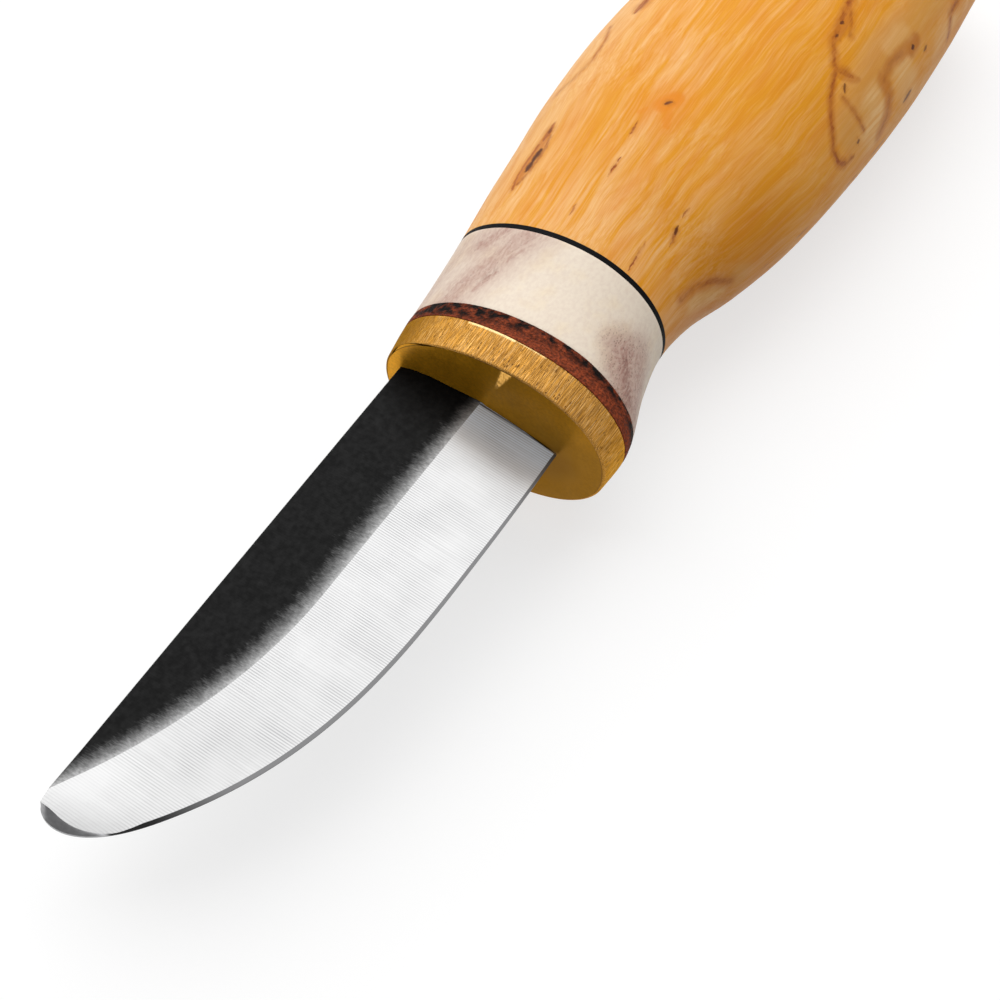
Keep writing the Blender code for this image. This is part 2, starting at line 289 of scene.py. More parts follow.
class SharedEffects:
    """Shader node groups that several finishes use."""

    KIND = "ShaderNodeTree"
    CORE = (1.0, 0.25)
    HALO = (2.6, 0.4)
    PIT_FLOOR = 0.4

    def __init__(self) -> None:
        """Builds the groups."""
        self.grain = self.build_grain()
        self.mark = self.build_mark()
        self.pores = self.build_pores()
        self.drift = self.build_drift()

    def build_drift(self) -> bpy.types.NodeTree:
        """Place that is shifted by a slow noise.

        Returns:
            A group that gives the shifted place.
        """
        inputs = {"Place": "Vector", "Scale": "Float", "Reach": "Float"}
        graph = GroupGraph("drifting_place", self.KIND, inputs, {"Drifted": "Vector"})
        place = graph.given["Place"]
        feeds = {"Vector": place, "Scale": graph.given["Scale"], "Detail": 2.0}
        noise = graph.out("ShaderNodeTexNoise", feeds, "Color")
        centred = graph.vector("SUBTRACT", noise, (0.5, 0.5, 0.5))
        shift = graph.scaled(centred, graph.given["Reach"] * 2.0)
        return graph.give(Drifted=graph.vector("ADD", place, shift))

    def build_grain(self) -> bpy.types.NodeTree:
        """Noise that is stretched by its own factors along each axis.

        Returns:
            A group that gives a value from 0 to 1.
        """
        inputs = {"Place": "Vector", "Stretch": "Vector", "Detail": "Float", "Low": "Float", "High": "Float"}
        graph = GroupGraph("stretched_grain", self.KIND, inputs, {"Grain": "Float"})
        given = graph.given
        stretched = graph.vector("MULTIPLY", given["Place"], given["Stretch"])
        feeds = {"Vector": stretched, "Scale": 1.0, "Detail": given["Detail"]}
        noise = graph.out("ShaderNodeTexNoise", feeds)
        return graph.give(Grain=graph.ramp(noise, given["Low"], given["High"], smooth=False))

    def build_mark(self) -> bpy.types.NodeTree:
        """Soft stroke between two points, thinner towards its ends.

        Returns:
            A group that gives the stroke's core and a wider halo.
        """
        inputs = {name: "Vector" for name in ("Place", "Start", "End")}
        inputs |= {name: "Float" for name in ("Width", "Strength", "Taper")}
        graph = GroupGraph("soft_mark", self.KIND, inputs, {"Core": "Float", "Halo": "Float"})
        given = graph.given
        along = graph.vector("SUBTRACT", given["End"], given["Start"])
        away = graph.vector("SUBTRACT", given["Place"], given["Start"])
        share = graph.vector("DOT_PRODUCT", away, along) / graph.vector("DOT_PRODUCT", along, along)
        held = graph.out("ShaderNodeClamp", {"Value": share})
        gap = graph.vector("DISTANCE", away, graph.scaled(along, held))
        off_middle = held * 2.0 - 1.0
        thinned = off_middle * off_middle * given["Taper"]
        reach = gap / (given["Width"] * (1.0 - thinned))
        core = graph.ramp(reach, *self.CORE) * given["Strength"]
        return graph.give(Core=core, Halo=graph.ramp(reach, *self.HALO) * given["Strength"])

    def build_pores(self) -> bpy.types.NodeTree:
        """Scattered pits of unlike size.

        Returns:
            A group that gives 1 inside a pit and 0 outside.
        """
        inputs = {"Place": "Vector", "Stretch": "Vector", "Size": "Float"}
        graph = GroupGraph("scattered_pores", self.KIND, inputs, {"Pores": "Float"})
        stretched = graph.vector("MULTIPLY", graph.given["Place"], graph.given["Stretch"])
        cells = graph.node("ShaderNodeTexVoronoi", {"Vector": stretched, "Scale": 1.0})
        size = graph.given["Size"] * graph.split(graph.take(cells, "Color"))[0]
        return graph.give(Pores=graph.ramp(graph.take(cells, "Distance"), size, size * self.PIT_FLOOR))


@dataclass(frozen=True)
class Stroke:
    """A mark on a surface along a few points, in millimetres on the knife's axes."""

    points: tuple[Point, ...]
    width: float
    strength: float
    taper: float = 0.0


Strokes = tuple[Stroke, ...]


@dataclass(frozen=True)
class Grain:
    """Stretched noise: repeats per millimetre on each axis, octaves, and the noise for 0 and for 1."""

    stretch: Point
    detail: float = 4.0
    low: float = 0.3
    high: float = 0.7


@dataclass(frozen=True)
class Pits:
    """Scattered pits: cells per millimetre on each axis, and the greatest reach of a pit in its cell."""

    stretch: Point
    size: float


class FinishGraph(Graph):
    """Node tree of one material, with places in millimetres on the knife's own axes."""

    def __init__(self, name: str, axes: KnifeAxes, effects: SharedEffects) -> None:
        """Makes the material and its coordinates.

        Args:
            name: Name of the material.
            axes: The knife's axes.
            effects: Node groups that the finish may place.
        """
        self.material = bpy.data.materials.new(name)
        self.material.use_nodes = True
        super().__init__(self.material.node_tree)
        self.axes = axes
        self.effects = effects
        feeds = {"Vector": self.out("ShaderNodeTexCoord", output="Object"), "Scale": (1 / MM,) * 3,
                 "Location": tuple(-axes.origin / MM)}
        self.place = self.out("ShaderNodeMapping", feeds)

    def put(self, **feeds: Feed) -> None:
        """Feeds the Principled shader's inputs, named with underscores for spaces."""
        for name, value in feeds.items():
            self.feed(self.tree.nodes["Principled BSDF"].inputs[name.replace("_", " ")], value)

    def stored(self, name: str) -> Value:
        """Reads a value that the mesh stores."""
        return self.out("ShaderNodeAttribute", output="Fac", attribute_name=name)

    def grain(self, grain: Grain, place: Optional[Value] = None) -> Value:
        """Places a stretched grain.

        Args:
            grain: Its sizes.
            place: Point that is read, or the plain place.

        Returns:
            The grain, from 0 to 1.
        """
        feeds = {"Place": place or self.place, "Stretch": grain.stretch, "Detail": grain.detail,
                 "Low": grain.low, "High": grain.high}
        return self.out("ShaderNodeGroup", feeds, node_tree=self.effects.grain)

    def pits(self, pits: Pits, place: Optional[Value] = None) -> Value:
        """Places scattered pits.

        Args:
            pits: Their sizes.
            place: Point that is read, or the plain place.

        Returns:
            The pits' mask.
        """
        feeds = {"Place": place or self.place, "Stretch": pits.stretch, "Size": pits.size}
        return self.out("ShaderNodeGroup", feeds, node_tree=self.effects.pores)

    def warped(self, scale: float, reach: float) -> Value:
        """Shifts the place by a noise with its repeats per millimetre and reach in millimetres."""
        feeds = {"Place": self.place, "Scale": scale, "Reach": reach}
        return self.out("ShaderNodeGroup", feeds, node_tree=self.effects.drift)

    def strokes(self, marks: Strokes, place: Optional[Value] = None) -> tuple[Value, Value]:
        """Lays strokes on the finish.

        Args:
            marks: The strokes.
            place: Point that is read, or the plain place.

        Returns:
            The cores' mask and the halos' mask.
        """
        placed = []
        for mark in marks:
            for start, end in zip(mark.points, mark.points[1:]):
                feeds = {"Place": place or self.place, "Start": start, "End": end, "Width": mark.width,
                         "Strength": mark.strength, "Taper": mark.taper}
                placed.append(self.node("ShaderNodeGroup", feeds, node_tree=self.effects.mark))
        core, halo = (self.most(*(self.take(node, name) for node in placed)) for name in ("Core", "Halo"))
        return core, halo

    def bump(self, height: Value, depth: float, tilt: Optional[Value] = None) -> None:
        """Raises the surface in the shading.

        Args:
            height: Relative height.
            depth: Depth that a height of 1 stands for, in metres.
            tilt: Vector that leans the normal, or none.
        """
        normal = self.out("ShaderNodeBump", {"Height": height, "Distance": depth, "Strength": 1.0})
        if tilt is not None:
            normal = self.vector("NORMALIZE", self.vector("ADD", normal, tilt))
        self.put(Normal=normal)


class Finish:
    """Procedural material of one kind of piece."""

    name: str

    def build(self, axes: KnifeAxes, effects: SharedEffects) -> bpy.types.Material:
        """Builds the material.

        Args:
            axes: The knife's axes.
            effects: Shared node groups.

        Returns:
            The material.
        """
        graph = FinishGraph(self.name, axes, effects)
        self.dress(graph)
        return graph.material

    def dress(self, graph: FinishGraph) -> None:
        """Feeds the shader of the graph, in each finish's own way."""
        raise NotImplementedError


@dataclass(frozen=True)
class SteelFinish(Finish):
    """Forge-black flats, a ground bevel with lines across it, and a stoned edge."""

    name: str = "ground_steel"
    scale: Colour = (0.0095, 0.0095, 0.0095)
    scuffed: Colour = (0.018, 0.018, 0.018)
    bare: Colour = (0.36, 0.36, 0.36)
    ground: Colour = (0.53, 0.53, 0.53)
    ground_tip: Colour = (0.64, 0.64, 0.64)
    groove: Colour = (0.25, 0.25, 0.255)
    # Painted light: a lighter, cooler bevel colour at the heel, which offsets the brass plate's shadow and
    # warm reflection.
    heel: Colour = (0.78, 0.87, 0.97)
    # Painted shadow: the near-black colour and line along the heel, where the gap in the plate's slot lies in
    # shade.
    gap: Colour = (0.008, 0.008, 0.009)
    heel_gap_shadow: Strokes = (
        Stroke(((0.42, 1.2, 1.6), (0.32, -3.5, 0.95), (0.17, -6.2, 0.52), (0.02, -9.0, 0.08)), 0.2, 0.9),
    )
    stoned: Colour = (0.14, 0.14, 0.142)
    stoned_tip: Colour = (0.012, 0.012, 0.012)
    nose: Colour = (0.30, 0.30, 0.305)
    nose_streak: Colour = (0.40, 0.40, 0.41)
    hairs: Grain = Grain((9.0, 2.0, 0.5), 5.0, 0.25, 0.75)
    tufts: Grain = Grain((1.3, 0.8, 0.5), 3.0, 0.25, 0.75)
    flecks: Grain = Grain((5.0, 2.4, 1.0), 5.0)
    mottle: Grain = Grain((1.6, 1.6, 1.6), 6.0, 0.35, 0.8)
    scratches: Grain = Grain((7.0, 0.12, 0.1), 4.0, 0.3, 0.75)
    patches: Grain = Grain((0.16, 0.2, 0.2), 2.0)
    streaks: Grain = Grain((2.0, 2.0, 5.0), 4.0, 0.3, 0.75)
    band: float = 2.6
    heel_band: float = 2.0
    heel_reach: float = 14.0
    line_pitch: float = 0.28
    contrast: float = 2.2
    strong_lines: Span = (-60.0, -48.0)
    bright_tip: Span = (-47.0, -59.0)
    bright_heel: Span = (-5.0, -0.5)
    dull_heel: Span = (-5.5, 0.6)
    dark_edge: Span = (-48.0, -57.0)
    nose_start: Span = (-59.2, -59.7)
    hair_share: float = 0.5
    tuft_share: float = 0.4
    least_wear: float = 0.55
    fleck_wear: Line = (0.6, 0.66)
    line_drift: float = 0.6
    line_drift_detail: float = 1.0
    line_drift_scale: float = 0.12
    patch_lines: Line = (0.55, 0.2)
    scratch_share: float = 0.2
    tip_lines: Line = (0.6, 0.4)
    roughness: float = 0.52
    bevel_polish: float = 0.2
    stoned_polish: float = 0.2
    heel_roughness: float = 0.3
    line_roughness: float = 0.08
    heel_film: float = 0.9
    mottle_relief: float = 0.3
    relief: float = 0.000006

    def dress(self, graph: FinishGraph) -> None:
        """Feeds the shader, with the zones that the mesh stores.

        Args:
            graph: The finish's node tree.
        """
        above = graph.stored("above_shoulder")
        on_bevel = graph.stored("bevel")
        on_stoned = graph.stored("stoned")
        x = graph.split(graph.place)[0]

        tangle = graph.grain(self.hairs) * self.hair_share + graph.grain(self.tufts) * self.tuft_share
        raised = above * (tangle + self.least_wear)
        band = graph.ramp(x, 0.0, -self.heel_reach) * (self.band - self.heel_band) + self.heel_band
        worn = graph.math("POWER", graph.ramp(raised, band, 0.0, smooth=False), self.contrast)
        worn = worn * graph.line(graph.grain(self.flecks), self.fleck_wear)
        mottle = graph.grain(self.mottle)

        # The bands of a Wave Texture repeat every pi / (10 * scale).
        feeds = {"Vector": graph.place, "Scale": math.pi / (10 * self.line_pitch),
                 "Distortion": self.line_drift, "Detail": self.line_drift_detail,
                 "Detail Scale": self.line_drift_scale}
        wave = graph.out("ShaderNodeTexWave", feeds, "Fac",
                         wave_type="BANDS", bands_direction="X", wave_profile="SIN")
        lines = graph.math("POWER", wave, self.contrast)
        lines = lines * graph.line(graph.grain(self.patches), self.patch_lines)
        lines = lines + graph.grain(self.scratches) * self.scratch_share
        lines = lines * graph.line(graph.ramp(x, *self.strong_lines), self.tip_lines)
        ground = graph.laid(
            self.ground,
            (graph.ramp(x, *self.bright_tip), self.ground_tip),
            # Painted light: the bevel is lighter and cooler near the heel, set against the plate's shadow and
            # reflection.
            (graph.ramp(x, *self.bright_heel), self.heel),
            (lines, self.groove),
            # Painted shadow: a dark line along the heel in the gap of the plate's slot.
            (graph.strokes(self.heel_gap_shadow)[0], self.gap),
        )
        nose = graph.blend(graph.grain(self.streaks), self.nose, self.nose_streak)
        edge = graph.laid(self.stoned, (graph.ramp(x, *self.dark_edge), self.stoned_tip),
                          (graph.ramp(x, *self.nose_start), nose))
        colour = graph.laid(self.scale, (mottle, self.scuffed), (worn, self.bare), (on_bevel, ground),
                            (on_stoned, edge))
        at_heel = graph.ramp(x, *self.dull_heel)
        rough = self.roughness - on_bevel * self.bevel_polish - on_stoned * self.stoned_polish
        rough = rough + at_heel * self.heel_roughness + lines * self.line_roughness
        graph.put(Base_Color=colour, Roughness=rough, Metallic=1.0 - at_heel * on_bevel * self.heel_film)
        graph.bump(lines * on_bevel + mottle * self.mottle_relief, self.relief)


@dataclass(frozen=True)
class BrassFinish(Finish):
    """Face with a soft polish, dull towards the edge side, and a side sanded along the handle."""

    name: str = "sanded_brass"
    gold: Colour = (0.68, 0.345, 0.070)
    deep: Colour = (0.56, 0.265, 0.045)
    face: Colour = (0.80, 0.365, 0.018)
    patina: Colour = (0.37, 0.165, 0.003)
    # Painted light: a lighter copy of the patina for the upper face towards the edge side.
    polished: Colour = (0.58, 0.255, 0.004)
    # Dark smears of the rubbed face, and the painted shadow under the heel's corner.
    smear_and_shade: Colour = (0.22, 0.095, 0.004)
    # Painted reflection: brighter gold at the spine-side end of the face, where it mirrors the lit floor.
    lip_reflection: Colour = (1.0, 0.46, 0.030)
    # Painted highlights: the pale colour of the light along the side's sanding scratches.
    sheen: Colour = (0.98, 0.66, 0.30)
    scratch: Colour = (0.24, 0.115, 0.030)
    tarnish: Colour = (0.17, 0.075, 0.022)
    # Painted highlight: the colour of the light along the plate's back rim.
    bright: Colour = (1.0, 0.80, 0.42)
    # Painted reflection: the gold of the glint on the face.
    glow: Colour = (0.86, 0.47, 0.12)
    edge_tint: Colour = (1.0, 0.70, 0.16)
    # Painted shadow: a near-black line on the plate along the blade's heel, where the slot's gap lies in
    # shade.
    gap: Colour = (0.012, 0.007, 0.004)
    seam: Strokes = (
        Stroke(((0.45, 1.2, 1.48), (0.35, -3.5, 0.82), (0.2, -6.2, 0.4), (0.08, -8.8, -0.05)), 0.22, 1.0),
    )
    # Painted shadow: a darker patch on the face under the heel's corner.
    shade: Strokes = (Stroke(((0.0, -9.2, -1.2), (0.0, -7.6, -2.6)), 1.6, 0.6),)
    # Painted highlight along the back rim, where the rounded edge catches the light.
    rim_highlight: Strokes = (
        Stroke(((4.0, 4.4, 9.1), (3.95, 2.4, 9.5), (3.9, 0.4, 9.75), (3.85, -1.2, 9.8)), 0.3, 1.0),
        Stroke(((3.85, -1.2, 9.8), (3.8, -5.0, 9.4)), 0.12, 0.5),
    )
    scratches: Grain = Grain((0.4, 12.0, 12.0), 4.0, 0.42, 0.60)
    bright_lines: Grain = Grain((0.35, 10.0, 10.0), 3.0, 0.50, 0.66)
    cover: Grain = Grain((0.6, 0.35, 0.35), 3.0, 0.36, 0.6)
    clouds: Grain = Grain((0.25, 0.22, 0.22), 3.0)
    rubbed: Grain = Grain((1.0, 2.6, 2.6), 5.0, 0.36, 0.68)
    # Breaks up the painted reflection of the glint.
    worn: Grain = Grain((1.0, 5.0, 2.0), 3.0, 0.30, 0.62)
    smears: Grain = Grain((0.6, 0.6, 0.6))
    pits: Pits = Pits((1.5, 4.5, 4.5), 0.5)
    patina_rise: Span = (8.0, -9.0)
    lit_rise: Span = (1.5, 6.5)
    lit_reach: Span = (-2.0, -6.0)
    lip_reflection_rise: Span = (8.5, 10.5)
    stain_rise: Span = (6.5, 12.0)
    glint_foot: Span = (-1.0, 5.0)
    glint_rim: Span = (-2.6, 9.3)
    glint_width: Span = (0.12, 0.95)
    glint_core: Span = (1.0, 0.4)
    glint_start: Span = (0.0, 0.35)
    glint_tilt: Point = (0.0, -1.10, 0.33)
    face_end: Span = (0.4, 0.0)
    patina_share: float = 0.95
    rubbed_share: float = 0.3
    scratch_share: float = 0.7
    sheen_share: float = 0.4
    pit_share: float = 0.9
    stain_share: float = 0.72
    rim_stain: float = 2.6
    glint_breakup: Line = (0.45, 0.55)
    smear_roughness: float = 0.12
    face_roughness: Line = (-0.15, 0.37)
    side_roughness: Line = (0.1, 0.06)
    face_film: Line = (-0.45, 0.45)
    relief: float = 0.00003

    def glint(self, graph: FinishGraph, on_side: Value) -> Value:
        """Masks the painted reflection on the face, which widens from its foot to the rim.

        Args:
            graph: The finish.
            on_side: Mask of the plate's side.

        Returns:
            The mask.
        """
        _, y, z = graph.split(graph.place)
        rise = graph.ramp(z, self.glint_foot[1], self.glint_rim[1], smooth=False)
        lean = rise * (self.glint_rim[0] - self.glint_foot[0]) + self.glint_foot[0]
        width = rise * (self.glint_width[1] - self.glint_width[0]) + self.glint_width[0]
        aside = graph.math("ABSOLUTE", y - lean) / width
        mask = graph.ramp(aside, *self.glint_core) * graph.ramp(rise, *self.glint_start)
        mask = mask * graph.line(graph.grain(self.worn), self.glint_breakup)
        return mask * graph.ramp(on_side, *self.face_end)

    def dress(self, graph: FinishGraph) -> None:
        """Feeds the shader, with the side that the mesh stores.

        Args:
            graph: The finish's node tree.
        """
        on_side = graph.stored("outside")
        on_face = 1.0 - on_side
        _, y, z = graph.split(graph.place)
        glint = self.glint(graph, on_side)
        rubbed = graph.grain(self.rubbed) * self.rubbed_share
        face = graph.laid(
            self.face,
            (graph.ramp(y, *self.patina_rise) * self.patina_share, self.patina),
            # Painted light: the face's upper part towards the edge side is lit to a lighter patina.
            (graph.ramp(z, *self.lit_rise) * graph.ramp(y, *self.lit_reach), self.polished),
            # Painted reflection: brighter gold towards the spine-side end of the face.
            (graph.ramp(y, *self.lip_reflection_rise), self.lip_reflection),
            # Rubbed smears, and the painted shadow under the heel's corner.
            (graph.most(graph.strokes(self.shade)[1], rubbed), self.smear_and_shade),
            # Painted reflection: the glint, also given a leaned normal and less roughness.
            (glint, self.glow),
        )
        scratches = graph.grain(self.scratches)
        lined = scratches * on_side * self.scratch_share
        dark = graph.pits(self.pits) * graph.grain(self.cover) * on_side
        stained = graph.ramp(y, *self.stain_rise) * on_side
        rim = on_side * on_face * self.rim_stain
        colour = graph.laid(
            face,
            (on_side, graph.blend(graph.grain(self.clouds), self.gold, self.deep)),
            (lined, self.scratch),
            # Painted highlights along the sanding scratches on the side.
            (graph.grain(self.bright_lines) * on_side * self.sheen_share, self.sheen),
            (graph.most(dark * self.pit_share, stained * self.stain_share, rim), self.tarnish),
            # Painted highlight along the back rim.
            (graph.strokes(self.rim_highlight)[0], self.bright),
            # Painted shadow: a dark line along the slot's gap beside the blade.
            (graph.strokes(self.seam)[0], self.gap),
        )
        rough = graph.grain(self.smears) * self.smear_roughness + graph.line(glint, self.face_roughness)
        rough = rough + on_side * graph.line(scratches, self.side_roughness)
        film = graph.line(glint, self.face_film) * on_face
        graph.put(Base_Color=colour, Roughness=rough, Metallic=1.0 - film, Specular_Tint=self.edge_tint)
        graph.bump(lined - dark, self.relief, tilt=graph.scaled(self.glint_tilt, glint))


@dataclass(frozen=True)
class LeatherFinish(Finish):
    """Pressed washer, nearly black with red-brown fibres on the side of the brass."""

    name: str = "pressed_leather"
    black: Colour = (0.008, 0.005, 0.004)
    brown: Colour = (0.13, 0.029, 0.013)
    red: Colour = (0.37, 0.072, 0.025)
    fibres: Grain = Grain((4.2, 3.2, 3.2), 4.0, 0.36, 0.64)
    clots: Grain = Grain((1.3, 0.85, 0.85), 4.0, 0.34, 0.56)
    drift: Grain = Grain((0.3, 0.12, 0.12), 2.0)
    back_margin: float = 0.15
    front_margin: float = 0.3
    spine_side: Span = (-1.0, 6.0)
    blackened: Span = (0.85, 0.3)
    drift_share: float = 0.3
    spine_loss: float = -0.28
    roughness: Line = (0.2, 0.6)
    specular: float = 0.1
    relief: float = 0.00008

    def dress(self, graph: FinishGraph) -> None:
        """Feeds the shader, redder towards the brass.

        Args:
            graph: The finish's node tree.
        """
        fibres = graph.grain(self.fibres)
        clots = graph.grain(self.clots)
        x, y, _ = graph.split(graph.place)
        near_brass = graph.ramp(x, graph.axes.leather_back / MM + self.back_margin,
                                graph.axes.plate_back / MM + self.front_margin, smooth=False)
        redness = near_brass + graph.grain(self.drift) * self.drift_share
        redness = graph.ramp(y, *self.spine_side) * self.spine_loss + redness
        blackness = clots * graph.ramp(redness, *self.blackened)
        colour = graph.laid(self.brown, (fibres, self.red), (blackness, self.black))
        graph.put(Base_Color=colour, Roughness=graph.line(fibres, self.roughness),
                  Specular_IOR_Level=self.specular)
        graph.bump(fibres - clots, self.relief)


@dataclass(frozen=True)
class AntlerFinish(Finish):
    """Cream antler with a mauve streak and a porous patch towards the edge side."""

    name: str = "polished_antler"
    cream: Colour = (0.85, 0.735, 0.60)
    honey: Colour = (0.86, 0.69, 0.45)
    mauve: Colour = (0.42, 0.225, 0.18)
    pore: Colour = (0.16, 0.085, 0.065)
    brown: Colour = (0.24, 0.115, 0.085)
    streaks: Strokes = (
        Stroke(((18.2, 5.0, 9.4), (15.0, 6.2, 9.0), (12.5, 7.0, 8.6), (9.6, 7.8, 8.0), (6.0, 9.0, 7.2)),
               2.2, 0.85),
        Stroke(((16.0, 4.4, 9.5), (11.8, 5.7, 9.0), (8.0, 6.7, 8.5)), 0.8, 0.9, 0.3),
        Stroke(((18.0, 8.0, 8.4), (15.0, 9.8, 7.4)), 2.0, 0.95),
        Stroke(((16.0, 11.6, 5.4), (6.5, 12.3, 4.0)), 2.2, 0.6),
    )
    patches: Strokes = (
        Stroke(((11.2, -10.4, 6.3), (9.3, -11.2, 5.8), (7.0, -13.0, 4.3)), 1.8, 1.0),
        Stroke(((12.6, -11.4, 4.6), (10.0, -12.6, 3.6), (6.5, -14.0, 1.8)), 1.8, 0.8),
    )
    cores: Strokes = (
        Stroke(((10.6, -10.6, 6.2), (8.9, -11.6, 5.4), (7.2, -13.1, 4.0)), 1.0, 0.8),
        Stroke(((12.4, 5.9, 9.0), (9.8, 6.6, 8.6)), 0.6, 0.5, 0.4),
    )
    warp: Span = (0.3, 0.9)
    fine: Grain = Grain((1.3, 3.6, 3.6), 5.0, 0.33, 0.68)
    clouds: Grain = Grain((0.25, 0.3, 0.3), 4.0, 0.5, 0.75)
    veins: Grain = Grain((0.10, 0.4, 0.4), 3.0, 0.5, 0.72)
    mottle: Grain = Grain((1.7, 2.4, 2.4), 6.0, 0.40, 0.68)
    holes: Pits = Pits((2.6, 6.0, 6.0), 0.6)
    specks: Pits = Pits((2.6, 5.0, 5.0), 0.5)
    under: Span = (2.0, -2.0)
    honey_share: float = 0.5
    mottle_share: float = 0.13
    streak_halo_share: float = 0.62
    streak_core_share: float = 0.85
    patch_halo_share: float = 0.85
    under_share: float = 0.7
    soft_wear: Line = (0.42, 0.68)
    core_wear: Line = (0.55, 0.15)
    hole_share: float = 0.6
    speck_share: float = 0.3
    fine_relief: float = 0.2
    roughness: Line = (0.12, 0.42)
    specular: float = 0.3
    relief: float = 0.00003

    def dress(self, graph: FinishGraph) -> None:
        """Feeds the shader, with marks on the upper side and veins on the underside.

        Args:
            graph: The finish's node tree.
        """
        warped = graph.warped(*self.warp)
        fine = graph.grain(self.fine, warped)
        streak_core, streak_halo = graph.strokes(self.streaks, warped)
        patch_core, patch_halo = graph.strokes(self.patches, warped)
        core, _ = graph.strokes(self.cores, warped)
        underside = graph.grain(self.veins, warped) * graph.ramp(graph.split(graph.place)[2], *self.under)
        soft = graph.most(streak_halo * self.streak_halo_share, streak_core * self.streak_core_share,
                          patch_halo * self.patch_halo_share, patch_core, underside * self.under_share)
        holes = graph.pits(self.holes) * graph.most(patch_halo, underside)
        specks = graph.pits(self.specks) * streak_core
        pits = graph.most(holes * self.hole_share, specks * self.speck_share)
        colour = graph.laid(
            self.cream,
            (graph.grain(self.clouds) * self.honey_share, self.honey),
            (graph.grain(self.mottle) * self.mottle_share, self.mauve),
            (soft * graph.line(fine, self.soft_wear), self.mauve),
            (core * graph.line(fine, self.core_wear), self.brown),
            (pits, self.pore),
        )
        graph.put(Base_Color=colour, Roughness=graph.line(fine, self.roughness),
                  Specular_IOR_Level=self.specular)
        graph.bump(fine * self.fine_relief - pits, self.relief)


@dataclass(frozen=True)
class LinerFinish(Finish):
    """Black fibre sheet seen on its cut edge."""

    name: str = "black_fibre"
    black: Colour = (0.003, 0.003, 0.0035)
    grey: Colour = (0.006, 0.006, 0.007)
    fibres: Grain = Grain((8.0, 1.5, 1.5))
    roughness: Line = (0.2, 0.5)
    specular: float = 0.06
    relief: float = 0.00001

    def dress(self, graph: FinishGraph) -> None:
        """Feeds the shader with fine fibres.

        Args:
            graph: The finish's node tree.
        """
        fibres = graph.grain(self.fibres)
        graph.put(Base_Color=graph.blend(fibres, self.black, self.grey),
                  Roughness=graph.line(fibres, self.roughness), Specular_IOR_Level=self.specular)
        graph.bump(fibres, self.relief)


